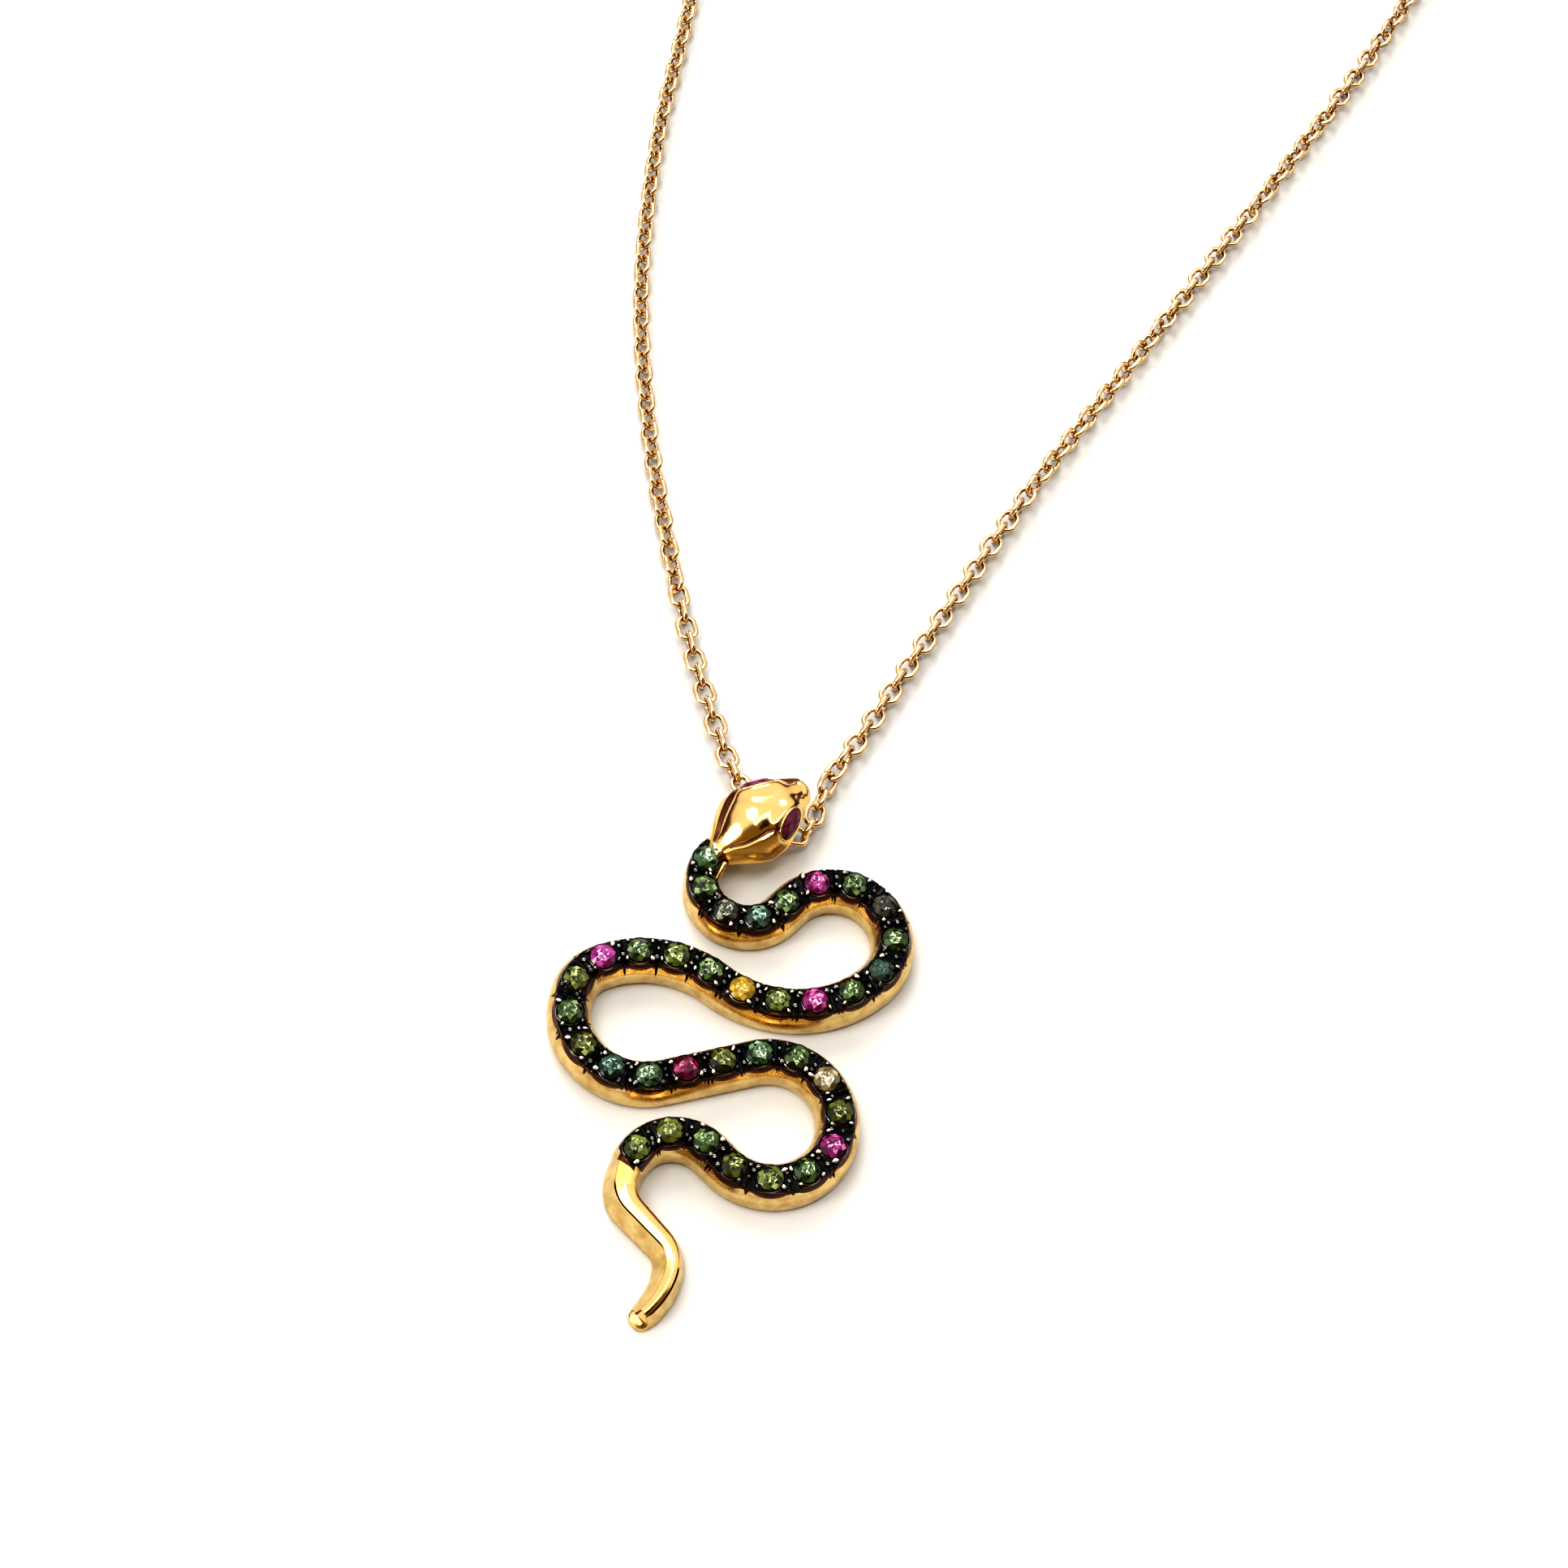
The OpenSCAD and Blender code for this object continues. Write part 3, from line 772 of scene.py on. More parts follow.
def addStuds():
    s = studSetup
    for middle, _ in gaps:
        for across in s["across"]:
            x, y, heading = place(middle + random.uniform(-s["shiftAlong"], s["shiftAlong"]))
            u = across + random.uniform(-s["shiftAcross"], s["shiftAcross"])
            top = bodySetup["height"] + s["top"] + random.uniform(-s["shiftUp"], s["shiftUp"])
            r = s["size"] / 2 * random.uniform(*s["scale"])
            addLathe((x + sin(heading) * u, y - cos(heading) * u, top), s["profile"], s["sides"],
                     lambda i, k: rim if i > 0 else black, size=r)


# The head, lofted from the neck to the snout

headSetup = {
    "root": (-1.63, 10.78), "turn": 49, "low": 1.7, "height": 1.8,
    "steps": 70, "stepSpread": 0.9,
    "nearLip": 7, "nearJaw": 8, "rows": (8, 9, 5, 11, 16),  # degrees, and rows from the bottom up
    # along, half width, then low, widest and top as shares of the height
    "sections": [
        (-0.35, 0.54, -0.45, -0.24, -0.02), (0.1, 0.82, -0.4, -0.16, 0.17),
        (0.6, 1.24, -0.28, -0.04, 0.46), (1.1, 1.62, -0.2, 0.01, 0.72),
        (1.7, 1.88, -0.15, 0.07, 0.91), (2.3, 1.88, -0.1, 0.11, 1),
        (2.95, 1.69, -0.04, 0.15, 1), (3.6, 1.38, 0.02, 0.21, 0.93),
        (4.2, 1.1, 0.04, 0.24, 0.82), (4.65, 0.84, 0.07, 0.27, 0.74),
        (4.88, 0.64, 0.12, 0.29, 0.68), (5.02, 0.4, 0.19, 0.32, 0.56),
    ],
    # lines along the head, as (along, degrees above its widest place); side 1 is right, -1 left
    "jaw": {
        1: [(-0.35, 64), (0.3, 60), (0.5, 54), (0.8, 49), (1.9, 48), (2.3, 44), (2.9, 36), (3.6, 30),
            (5.02, 28)],
        -1: [(-0.35, 50), (0.05, 46), (0.55, 40), (1, 38), (1.65, 34), (2.2, 33), (3, 34),
             (3.6, 40), (4.3, 46), (4.85, 54), (5.02, 62)],
    },
    "lip": [(-0.35, 30), (0.1, 32), (0.35, 28), (0.6, 18), (0.9, 12), (1.2, 8), (2.6, 8), (3.6, 10),
            (5.02, 14)],
    "brow": [(3.3, 57), (3.65, 58), (4.05, 62), (4.55, 64), (5.02, 72)],
}
# How the lines are cut: steps, depths and where they fade are millimetres, widths are degrees
reliefSetup = {
    "jawStep": 0.1, "jawWidth": 3, "lipStep": 0.07, "lipWidth": 2.5, "drawnIn": 0.12,
    "groove": 0.06, "grooveAbove": 5, "grooveWidth": 5, "browDepth": 0.06, "browWidth": 6,
    "fadeIn": (-0.25, 0.6), "fadeOut": 0.4, "browIn": (3.3, 0.3), "browOut": (4.75, 0.5),
    "eyeStop": (2.9, 0.8),  # the near side's jaw line ends at the eye
    "chinRound": 0.6, "flatPush": 0.6,
}
# Where the painted shade lines and the satin finish lie: along the head in millimetres, from the lines in
# degrees
headPaintedShade = {
    "nearAlong": (0.2, 2.9), "nearAbove": (1, 7), "farHalf": 6, "snoutFrom": 3.4, "snoutHalf": 8,
    "browAlong": (3.6, 4.55), "browHalf": 6, "neckTo": 0.05, "neckBelow": 6, "satinBelow": -6,
}
headAhead, headLeft = levelAxes(radians(headSetup["turn"]))
headRoot = Vector((*headSetup["root"], 0))
snoutEnd = headSetup["sections"][-1][0]

eyeSetup = {
    "cut": {"long": 1.65, "wide": 0.99, "girdle": 0.05, "crown": 0.16, "pavilion": 0.34},
    "spot": (3.05, 1.3, 0.62),  # along and across the head, share of its height
    "tilt": 57, "turn": 18, "roll": 14,
    # rim: how far it stands outside the stone, and its height over the stone's girdle
    "rim": [(0.1, -0.5), (0.095, -0.1), (0.085, 0), (0.07, 0.03), (0.045, 0.04), (0.02, 0.03),
            (0.005, -0.02), (0, -0.25)],
    "rimSides": 48,
    "swell": 0.08, "swellFrom": 0.93, "swellTo": 1.7, "swellOver": 0.65, "swellLift": 0.015,
    "swellDeep": 1, "swellFade": 0.4,
}


def belowLine(x, width):
    # 0 above a line, 1 below it
    return 0.5 - 0.5 * tanh(x / width)


def headAngles(along, side):
    # angles round one side, from the bottom to the top, closer together at the lines
    s = headSetup
    jaw, lip = smoothValue(s["jaw"][side], along), smoothValue(s["lip"], along)
    edges = [-90, lip - s["nearLip"], lip + s["nearLip"], jaw - s["nearJaw"], jaw + s["nearJaw"], 90]
    angles = []
    for low, high, count in zip(edges, edges[1:], s["rows"]):
        angles += [lerp(low, high, k / count) for k in range(count)]
    return angles + [90]


def headRing(along):
    s = headSetup
    r = reliefSetup
    half, low, wide, high = [smoothValue([(row[0], row[j]) for row in s["sections"]], along)
                             for j in range(1, 5)]
    fade = ramp(along, *r["fadeIn"]) * ramp(snoutEnd - along, 0, r["fadeOut"])
    lip, brow = [smoothValue(s[line], along) for line in ("lip", "brow")]
    browEnd, browOver = r["browOut"]
    browFade = ramp(along, *r["browIn"]) * ramp(browEnd - along, 0, browOver) * fade
    toEye = 1 - ramp(along, *r["eyeStop"])

    def pointAt(angle, side):
        c, t = cos(radians(angle)), sin(radians(angle))
        jaw = smoothValue(s["jaw"][side], along)
        shown = toEye if side == 1 else 1
        rise = (high - wide) * t if t > 0 else (wide - low) * -((-t) ** r["chinRound"])
        push = r["jawStep"] * belowLine(angle - jaw, r["jawWidth"])
        push += r["lipStep"] * belowLine(angle - lip, r["lipWidth"])
        push -= r["groove"] * exp(-((angle - jaw - r["grooveAbove"]) / r["grooveWidth"]) ** 2) * shown
        push = push * shown - r["drawnIn"]
        push *= fade
        push -= r["browDepth"] * exp(-((angle - brow) / r["browWidth"]) ** 2) * browFade
        out = Vector((c, 0, t * r["flatPush"])).normalized() * push
        point = (headRoot + headAhead * along - headLeft * side * (half * c + out.x)
                 + upright * (s["low"] + s["height"] * (wide + rise) + out.z))
        return raisedToEye(point, side)

    right = [pointAt(angle, 1) for angle in headAngles(along, 1)]
    left = [pointAt(angle, -1) for angle in headAngles(along, -1)[-2:0:-1]]
    return right + left


def addHead():
    s = headSetup
    h = headPaintedShade
    start, steps = s["sections"][0][0], s["steps"]
    spots = [lerp(start, snoutEnd, sin(pi / 2 * k / steps) ** s["stepSpread"])
             for k in range(steps + 1)]

    def lookAt(i, k):
        along = (spots[i] + spots[i + 1]) / 2
        count = len(headAngles(along, 1)) - 1
        side = 1 if k < count else -1
        angles = headAngles(along, side)
        row = min(k, 2 * count - 1 - k)
        angle = (angles[row] + angles[row + 1]) / 2
        aboveJaw = angle - smoothValue(s["jaw"][side], along)
        # the near side's jaw groove, brow and neck, and the far side's jaw line, get painted shade and
        # painted dark reflection lines
        if side == 1:
            inJaw = within(along, h["nearAlong"]) and within(aboveJaw, h["nearAbove"])
            offBrow = abs(angle - smoothValue(s["brow"], along))
            inBrow = within(along, h["browAlong"]) and offBrow < h["browHalf"]
            inPaintedShade = inJaw or inBrow or along < h["neckTo"] and aboveJaw < h["neckBelow"]
        else:
            half = h["farHalf"] if along < h["snoutFrom"] else h["snoutHalf"]
            inPaintedShade = along > 0 and abs(aboveJaw) < half
        if inPaintedShade:
            return paintedShade
        return satin if aboveJaw < h["satinBelow"] else bright

    casting.addGrid([headRing(spot) for spot in spots], lookAt)


def eyeAxes(side):
    # the eye's middle, and along, across and out of it; side 1 is left, -1 right
    e = eyeSetup
    turn, tilt, roll = [Matrix.Rotation(-side * radians(e[key]), 3, axis)
                        for key, axis in (("turn", "Z"), ("tilt", "X"), ("roll", "Z"))]
    axes = Matrix((headAhead, headLeft, upright)).transposed() @ (turn @ tilt @ roll)
    along, across, height = e["spot"]
    spot = headRoot + headAhead * along + headLeft * side * across
    spot = spot + upright * (headSetup["low"] + headSetup["height"] * height)
    return spot, axes.col[0], axes.col[1], axes.col[2]


def raisedToEye(point, side):
    # swells the head's skin up to its eye's rim; side 1 is right, -1 left
    e = eyeSetup
    spot, along, across, out = eyeAxes(-side)
    off = point - spot
    long, wide = [e["cut"][key] / 2 + e["swell"] for key in ("long", "wide")]
    reach = hypot(off.dot(along) / long, off.dot(across) / wide)
    depth = off.dot(out)
    if reach < e["swellFrom"] or reach > e["swellTo"] or depth > 0 or depth < -e["swellDeep"]:
        return point
    near = ramp(e["swellTo"] - reach, 0, e["swellOver"])
    near = near * near * (3 - 2 * near)
    return point - out * (depth + e["swellLift"]) * near * ramp(depth, -e["swellDeep"], e["swellFade"])


def addEyeRim(side):
    e = eyeSetup
    spot, along, across, out = eyeAxes(side)
    long, wide = [e["cut"][key] / 2 for key in ("long", "wide")]
    rings = [circle(spot + out * z, along * (long + grow), across * (wide + grow), e["rimSides"])
             for grow, z in e["rim"]]
    casting.addGrid(rings, lambda i, k: bright)


neckSetup = {
    # drops of metal between the neck and the head: place, radius, stretch, turn in degrees
    "prongs": [((-1.86, 10.8, 1.86), 0.12, 1.8, 125), ((-1.62, 10.62, 1.9), 0.1, 1.7, 120)],
    "prongSides": 12,
    # shares of the radius, and heights from the top
    "prongProfile": [(1, -0.7), (1, -0.1), (0.9, -0.05), (0.7, -0.02), (0.35, 0), (0.05, 0.005)],
    # short bar from under the head to the body: its ends, and radii at places from each end
    "barFrom": (-1.24, 10.12, 1.75), "barTo": (-1.48, 9.28, 1.4), "barSides": 14, "barPaintedShade": 4,
    "barStart": [(0.03, 0), (0.11, 0.02), (0.13, 0.1)], "barEnd": [(0.12, 0.12), (0.08, 0.03), (0.02, 0)],
}


def addNeck():
    n = neckSetup
    for spot, r, stretch, turn in n["prongs"]:
        right, ahead = levelAxes(radians(turn))
        axes = (right * stretch, ahead, upright)
        # the prongs are wholly in the white painted glint
        addLathe(spot, n["prongProfile"], n["prongSides"], lambda i, k: bead, axes, r)
    high, low = Vector(n["barFrom"]), Vector(n["barTo"])
    up = (low - high).normalized()
    right = up.orthogonal().normalized()
    long = (low - high).length
    profile = n["barStart"] + [(radius, long - z) for radius, z in n["barEnd"]]
    # painted shade along one side of the bar
    addLathe(high, profile, n["barSides"], lambda i, k: paintedShade if i == 2 and k < n["barPaintedShade"] else bright,
             (right, up.cross(right), up))


# Short tube under the head for the chain: radii, and how far in from its ends they lie
bailSetup = {
    "along": 3.5, "height": 1, "half": 0.65, "sides": 40,
    "profile": [(0.75, 0.03), (0.79, 0), (0.93, 0), (0.98, 0.04), (1, 0.1)],
}


def addBail():
    b = bailSetup
    spot = headRoot + headAhead * b["along"] + upright * b["height"]
    profile = [(radius, z - b["half"]) for radius, z in b["profile"]]
    profile += [(radius, -z) for radius, z in profile[::-1]]
    axes = (headAhead, upright, headLeft)
    addLathe(spot, profile + profile[:1], b["sides"], lambda i, k: gold, axes, caps=False)


addBody()
addCups()
addBeads()
addStuds()
addHead()
addEyeRim(1)
addEyeRim(-1)
addNeck()
addBail()
snakeCasting = casting.toObject("snakeCasting", [metalLooks[name] for name in castingLooks], sharpAngle=50)
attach(snakeCasting, "root")
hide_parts("snake_body")
print("casting made", len(casting.faces), "faces")


# Cut stones: table, stars, kites, upper halves, girdle, lower halves and mains

# Rings of corners: share of the stone's half width, share of the crown or pavilion
cutShape = {
    "table": (0.56, 1), "middle": (0.4, 1), "inner": (0.2, 1), "star": (0.79, 0.52), "belly": (0.3, 0.72),
}
# Painted facet light: most facets dark or plain, a few that flash: up to this chance, the least and most
# shade
facetShades = [(0.38, 0, 0.22), (0.76, 0.3, 0.6), (0.9, 0.62, 0.8), (1, 0.88, 1)]
# painted shade that calm stones drift toward, and the girdle's painted shade
calmShade = 0.55
girdleShade = 0.3


def brilliant(name, look, spot, axes, cut, seed, lift=0, calm=0):
    along, across, up = axes
    rng = random.Random(seed)
    stone = Shell()
    half = cut["girdle"] / 2

    def ring(share, z, count, shift):
        return stone.addPoints(circle(Vector(spot) + up * z, along * share * cut["long"] / 2,
                                      across * share * cut["wide"] / 2, count, shift))

    def crownRing(part, count, shift):
        share, rise = cutShape[part]
        return ring(share, half + cut["crown"] * rise, count, shift)

    table = crownRing("table", 8, 0)
    middle = crownRing("middle", 16, 0)
    inner = crownRing("inner", 8, 0.5)
    centre = stone.addPoints([Vector(spot) + up * (half + cut["crown"])])
    star = crownRing("star", 8, 0.5)
    upper = ring(1, half, 16, 0)
    lower = ring(1, -half, 16, 0)
    belly = ring(cutShape["belly"][0], -half - cut["pavilion"] * cutShape["belly"][1], 8, 0.5)
    culet = stone.addPoints([Vector(spot) - up * (half + cut["pavilion"])])

    def shade(dim):
        kind = rng.random()
        for chance, low, high in facetShades:
            if kind <= chance:
                return min(1, max(0, lerp(rng.uniform(low, high), calmShade, calm) + lift)) * dim

    for k in range(8):
        after, before = (k + 1) % 8, (k + 7) % 8
        at, mid, end = 2 * k, 2 * k + 1, (2 * k + 2) % 16  # corners on the rings of sixteen
        # dim: share of its painted light that each facet keeps; stars, kites and upper halves are dimmer
        facets = [
            (1, (table + k, table + after, middle + mid)),
            (1, (table + k, middle + mid, middle + at)),
            (1, (table + after, middle + end, middle + mid)),
            (1, (middle + at, middle + mid, inner + k)),
            (1, (middle + mid, middle + end, inner + k)),
            (1, (middle + at, inner + k, centre, inner + before)),
            (0.8, (table + k, star + k, table + after)),
            (0.75, (table + k, star + before, upper + at, star + k)),
            (0.45, (star + k, upper + at, upper + mid)),
            (0.45, (star + k, upper + mid, upper + end)),
            (1, (belly + k, lower + mid, lower + at)),
            (1, (belly + k, lower + end, lower + mid)),
            (1, (culet, belly + k, lower + at, belly + before)),
        ]
        for dim, corners in facets:
            stone.addFace(corners, 0, shade(dim))
    for k in range(16):
        after = (k + 1) % 16
        stone.addFace((lower + k, lower + after, upper + after, upper + k), 0, girdleShade)
    return stone.toObject(name, [look], smooth=False)


# Colours of the round stones from the neck to the tail
stoneOrder = [
    "mintGreen", "leafGreen", "inkGreen", "tealGreen", "leafGreen", "pink", "leafGreen", "inkGreen",
    "leafGreen", "tealGreen", "leafGreen", "pink", "lime", "yellow", "leafGreen", "lime", "leafGreen",
    "orchid", "olive", "leafGreen", "olive", "tealGreen", "mintGreen", "magenta", "olive", "mintGreen",
    "leafGreen", "champagne", "olive", "pink", "leafGreen", "lime", "olive", "leafGreen", "olive", "lime",
]
# Stones whose painted facet light is lighter or darker, and those that flash less: lift, calm
stoneCharacter = {
    3: (0.12, 0), 4: (0.06, 0), 6: (0.06, 0), 7: (-0.06, 0), 8: (0, 0.2), 9: (0.06, 0), 10: (-0.03, 0),
    12: (0.16, 0), 13: (0.08, 0), 14: (0.16, 0.3), 17: (0.1, 0), 18: (0.06, 0), 20: (0.15, 0),
    26: (0.1, 0), 28: (0.25, 0), 31: (0.06, 0), 33: (-0.1, 0), 34: (0.06, 0.2), 35: (0.04, 0.3),
}


def addStones():
    s = stoneSetup
    z = bodySetup["height"] + s["lift"]
    for i, (station, colour) in enumerate(zip(stations, stoneOrder)):
        x, y, heading = place(station)
        flat = levelAxes(heading + random.uniform(0, pi / 4))
        lean = Matrix.Rotation(radians(random.uniform(-s["lean"], s["lean"])), 3, "X")
        along, across = [lean @ axis for axis in flat]
        node = f"stone_{i + 1:02d}"
        piece = brilliant("cut_" + node, stoneLooks[colour], (x, y, z), (along, across, along.cross(across)),
                          s["cut"], i, *stoneCharacter.get(i + 1, (0, 0)))
        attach(piece, "root")
        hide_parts(node)


def addEyes():
    for side, node in ((1, "eye_left"), (-1, "eye_right")):
        spot, *axes = eyeAxes(side)
        piece = brilliant("cut_" + node, stoneLooks["plum"], spot, axes, eyeSetup["cut"], 50 + side)
        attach(piece, "root")
        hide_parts(node)


addStones()
addEyes()
print("stones set")


# Cable chain along the same route as the source's

chainSetup = {
    "wide": 1.12, "wire": 0.26, "pitch": 0.9, "fuse": 0.01,
    "around": 20, "section": 10,
    "darkBelow": 0.05,  # share of the wire over its middle, below which the wire gets painted shade
    "low": 0.56,  # height of the chain's middle on the floor
    "jumpRing": 1.7, "jumpWire": 0.28, "jumpAround": 28, "jumpGap": 0.08,
    "curveSteps": 60,
}
claspSetup = {
    "spot": (14.15, 204), "wireAt": 2.05, "lastLinkAt": 3.15,  # the last two from its centre
    "outward": Vector((sqrt(0.5), -sqrt(0.5), 0)),  # from its centre to the last link
}
# x and y, and the height where the chain isn't on the floor
chainRoute = [
    (10.25, 204, 0.75), (0, 202), (-9.5, 194), (-16.5, 181), (-21, 165), (-23, 147), (-22.5, 128),
    (-20, 109), (-17, 92), (-14.6, 77), (-13.5, 64), (-13.2, 53), (-12, 43), (-9.8, 34.3), (-7.2, 27),
    (-4.9, 21.5), (-3, 17.7), (-1.65, 15.3, 0.75), (-0.5, 14.2, 0.92), (0.6, 13.35, 0.95),
    (1.35, 12.78, 0.87), (2.04, 12.94, 0.7), (2.37, 13.65, 0.6), (2.44, 14.7), (2.9, 16.7), (3.95, 19.3),
    (5.5, 23.7), (7.4, 28.9), (9.8, 35.4), (12.8, 42.3), (16.3, 50.4), (20.2, 59.5), (24.6, 70.2),
    (29.4, 84), (34, 101), (37.5, 121), (39, 142), (37.5, 162), (33, 180), (26, 193.2),
    tuple(claspSetup["spot"][j] + claspSetup["lastLinkAt"] * claspSetup["outward"][j] for j in range(2)),
]
routePoints = [Vector((*spot, chainSetup["low"])[:3]) for spot in chainRoute]
# Links counted from the clasp's eyelet: how far along the route some of them lie
linkMarks = [(219, 196.5), (229, 205.9), (237, 213.2), (242, 217.7), (258, 231.6)]
# and how far the chain is twisted there, in degrees
twists = [
    (0, 90), (4, 135), (216, 135), (221, 92), (236, 90), (242, 5), (260, 0), (266, 45), (274, 45),
    (281, 0), (286, 0), (292, 45), (296, 45), (300, 0), (303, 0), (309, 45), (452, 45), (458, 0),
]


def curvePoint(i, t):
    last = len(routePoints) - 1
    a, b, c, d = [routePoints[min(max(k, 0), last)] for k in (i - 1, i, i + 1, i + 2)]
    return 0.5 * (2 * b + (c - a) * t + (2 * a - 5 * b + 4 * c - d) * t * t
                  + (3 * b - a - 3 * c + d) * t ** 3)


def linkSpots():
    # centre, direction, number and spacing of every link
    steps = chainSetup["curveSteps"]
    fine = [curvePoint(i, k / steps) for i in range(len(routePoints) - 1) for k in range(steps)]
    fine.append(routePoints[-1])
    lengths = [0]
    for a, b in zip(fine, fine[1:]):
        lengths.append(lengths[-1] + (b - a).length)
    last = linkMarks[-1][0] + round((lengths[-1] - linkMarks[-1][1]) / chainSetup["pitch"])
    marks = [(0, 0)] + linkMarks + [(last, lengths[-1])]
    spots = []
    j = 0
    for (first, start), (end, stop) in zip(marks, marks[1:]):
        pitch = (stop - start) / (end - first)
        for link in range(first, end if end < last else end + 1):
            want = start + (link - first) * pitch
            while j < len(fine) - 2 and lengths[j + 1] < want:
                j += 1
            a, b = fine[j], fine[j + 1]
            share = (want - lengths[j]) / (lengths[j + 1] - lengths[j])
            spots.append((a.lerp(b, share), (b - a).normalized(), link, pitch))
    return spots


def addLink(shell, centre, along, wide, long, width, wire, around):
    # one oval link of round wire in the plane of along and wide, with painted shade on its under side
    section = chainSetup["section"]
    out = along.cross(wide)
    bend = width / 2 - wire / 2
    straight = long / 2 - wire / 2 - bend
    rings = []
    for k in range(around):
        a = 2 * pi * k / around
        shift = straight if cos(a) >= 0 else -straight
        direction = along * cos(a) + wide * sin(a)
        spine = centre + along * shift + direction * bend
        rings.append(circle(spine, direction * wire / 2, out * wire / 2, section))
    start = shell.addPoints([p for ring in rings for p in ring])
    heart = [sum(p.z for p in ring) / section for ring in rings]
    for i, ring in enumerate(rings):
        j = (i + 1) % around
        for k in range(section):
            m = (k + 1) % section
            corners = [start + a * section + b for a, b in ((i, k), (j, k), (j, m), (i, m))]
            above = (ring[k].z + ring[m].z + rings[j][k].z + rings[j][m].z) / 4 - (heart[i] + heart[j]) / 2
            # faces low on the wire get the painted shade
            shell.addFace(corners, 0 if above > chainSetup["darkBelow"] * wire else 1)


def addChain():
    c = chainSetup
    chain = Shell()
    for spot, along, link, pitch in linkSpots():
        side = along.cross(upright).normalized()
        lift = side.cross(along)
        roll = radians(90 * (link % 2) + smoothValue(twists, link))
        wide = side * cos(roll) + lift * sin(roll)
        long = pitch + 2 * c["wire"] + c["fuse"]
        addLink(chain, spot, along, wide, long, c["wide"], c["wire"], c["around"])
    # jump ring that joins the last link to the clasp
    r = c["jumpRing"]
    outward = claspSetup["outward"]
    centre = Vector((*claspSetup["spot"], 0)) + outward * (claspSetup["wireAt"] + c["jumpGap"])
    centre += Vector((0, 0, r / 2))
    addLink(chain, centre, outward, upright, r, r, c["jumpWire"], c["jumpAround"])
    piece = chain.toObject("cableChain", [metalLooks["roseGold"], metalLooks["rosePaintedShade"]])
    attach(piece, "root")
    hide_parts("chain")


addChain()
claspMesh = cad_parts["clasp"].data
claspMesh.materials.clear()
claspMesh.materials.append(metalLooks["roseGold"])
print("chain linked")


# Pale surface and soft studio light, in metres and watts

floorSetup = {
    "half": 1.5,
    "surface": {"Roughness": 0.65, "Specular IOR Level": 0.3},
    "grain": {"Scale": 900, "Detail": 3},
    "tints": {mixA: (0.66, 0.652, 0.638, 1), mixB: (0.69, 0.682, 0.668, 1)},
}


def makeFloor():
    f = floorSetup
    material, tree, surface = newMaterial("palePaper", f["surface"])
    place = addNode(tree, "ShaderNodeTexCoord")
    grain = addNode(tree, "ShaderNodeTexNoise", f["grain"])
    tint = addNode(tree, "ShaderNodeMix", f["tints"], data_type="RGBA")
    wire(tree, (place, "Object", grain, "Vector"), (grain, "Fac", tint, "Factor"),
         (tint, mixed, surface, "Base Color"))
    half = f["half"]
    mesh = bpy.data.meshes.new("floor")
    corners = [(-half, -half, 0), (half, -half, 0), (half, half, 0), (-half, half, 0)]
    mesh.from_pydata(corners, [], [(0, 1, 2, 3)])
    mesh.materials.append(material)
    floor = intoScene("floor", mesh)


# name, place, length, width, watts, colour
softLights = [
    ("backWindow", (-0.15, 0.42, 0.33), 0.26, 0.24, 1.4, (1, 0.985, 0.96)),
    ("leftWindow", (-0.42, -0.22, 0.2), 0.16, 0.14, 0.8, (1, 0.98, 0.94)),
    ("overheadTube", (0.02, -0.01, 0.45), 0.45, 0.02, 0.4, (1, 0.98, 0.94)),
    ("leftPanel", (-0.235, 0, 0.435), 0.18, 0.14, 0.42, (1, 0.99, 0.97)),
    ("frontPanel", (-0.165, -0.13, 0.45), 0.12, 0.07, 0.05, (1, 0.98, 0.92)),
]
lightsAim = Vector((0, 0.01, 0))


def makeLights():
    for name, spot, long, wide, watts, colour in softLights:
        light = bpy.data.lights.new(name, "AREA")
        light.shape = "RECTANGLE"
        light.size = long
        light.size_y = wide
        light.energy = watts
        light.color = colour
        lamp = intoScene(name, light)
        lamp.location = spot
        lamp.rotation_euler = (lightsAim - Vector(spot)).to_track_quat("-Z", "Y").to_euler()


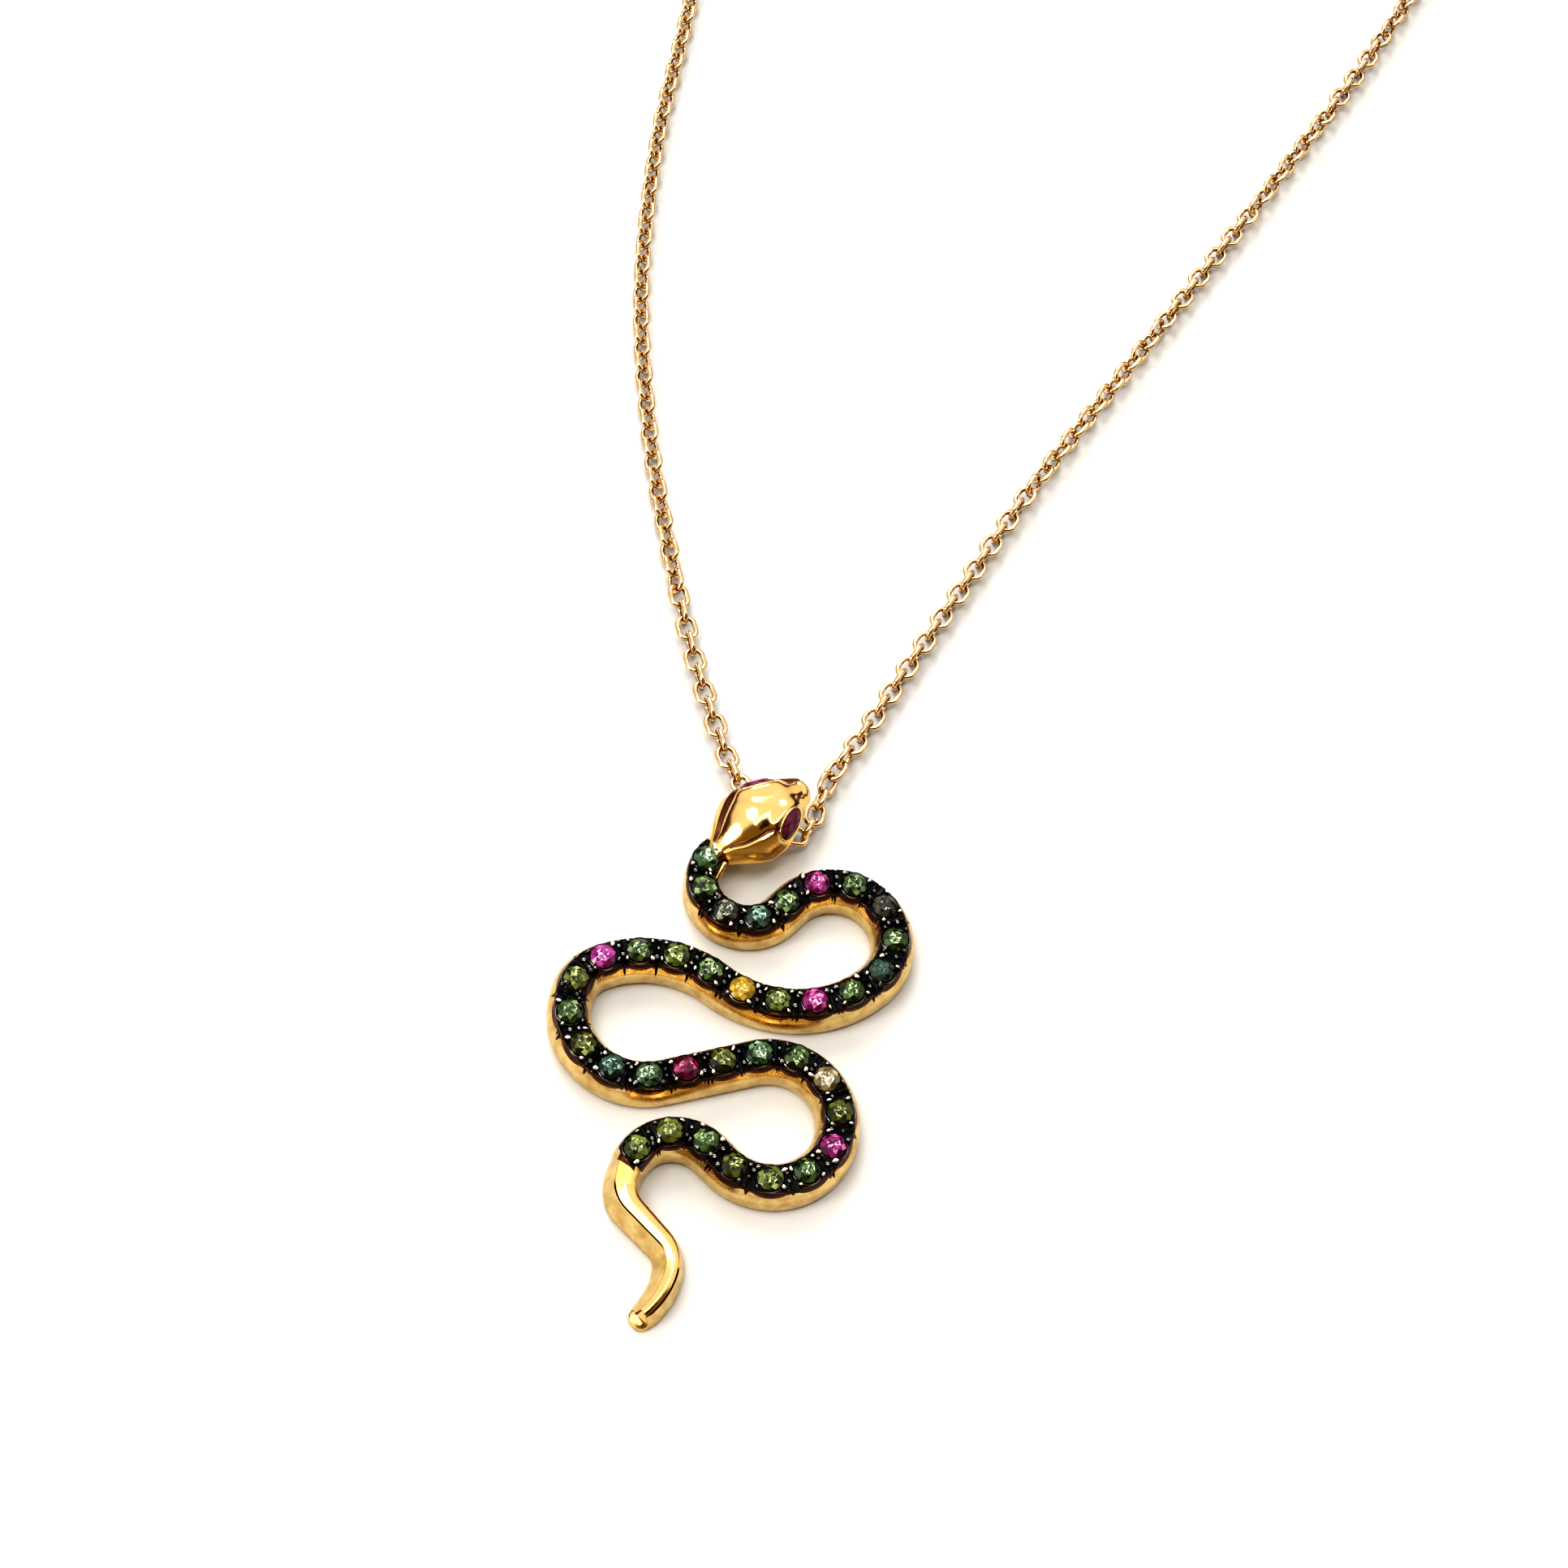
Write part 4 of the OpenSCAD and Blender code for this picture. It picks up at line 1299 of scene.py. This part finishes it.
worldSetup = {
    "strength": 1,
    # height of the direction, colour there: dark far end of the table, then walls and ceiling
    "heights": [(0, (0.06, 0.02, 0.012, 1)), (0.24, (0.08, 0.03, 0.018, 1)), (0.33, (0.8, 0.76, 0.71, 1)),
                (0.6, (1, 0.99, 0.975, 1))],
    # unlit side of the room, and the dark stand over the table, with their edges in degrees
    "unlit": {"at": (0.3, -0.9, 0.25), "inner": 60, "outer": 68, "colour": (0.23, 0.145, 0.035, 1)},
    "stand": {"at": (0.25, -0.42, 0.87), "inner": 15, "outer": 18, "colour": (0.03, 0.012, 0.008, 1)},
}


def addZone(tree, place, below, zone):
    # a soft-edged patch of the room round one direction, over the colour below
    middle = {1: Vector(zone["at"]).normalized()}
    edges = {"From Min": cos(radians(zone["outer"])),
             "From Max": cos(radians(zone["inner"]))}
    toward = addNode(tree, "ShaderNodeVectorMath", middle, operation="DOT_PRODUCT")
    near = addNode(tree, "ShaderNodeMapRange", edges, interpolation_type="SMOOTHSTEP")
    patch = addNode(tree, "ShaderNodeMix", {mixB: zone["colour"]}, data_type="RGBA")
    tree.links.new(place, toward.inputs[0])
    tree.links.new(below, patch.inputs[mixA])
    wire(tree, (toward, "Value", near, "Value"), (near, "Result", patch, "Factor"))
    return patch.outputs[mixed]


def makeWorld():
    w = worldSetup
    world = bpy.data.worlds.new("studio")
    world.use_nodes = True
    tree = world.node_tree
    background = tree.nodes["Background"]
    place = addNode(tree, "ShaderNodeTexCoord").outputs["Generated"]
    split = addNode(tree, "ShaderNodeSeparateXYZ")
    sky = addNode(tree, "ShaderNodeValToRGB")
    tree.links.new(place, split.inputs["Vector"])
    wire(tree, (split, "Z", sky, "Fac"))
    stops = sky.color_ramp.elements
    stops[1].position = w["heights"][-1][0]
    for position, _ in w["heights"][1:-1]:
        stops.new(position)
    for stop, (position, colour) in zip(stops, w["heights"]):
        stop.position = position
        stop.color = colour
    shown = sky.outputs["Color"]
    for zone in ("unlit", "stand"):
        shown = addZone(tree, place, shown, w[zone])
    tree.links.new(shown, background.inputs["Color"])
    background.inputs["Strength"].default_value = w["strength"]
    bpy.context.scene.world = world


makeFloor()
makeLights()
makeWorld()
bpy.context.scene.view_settings.view_transform = "Standard"
bpy.context.scene.view_settings.look = "High Contrast"
print("studio lit")
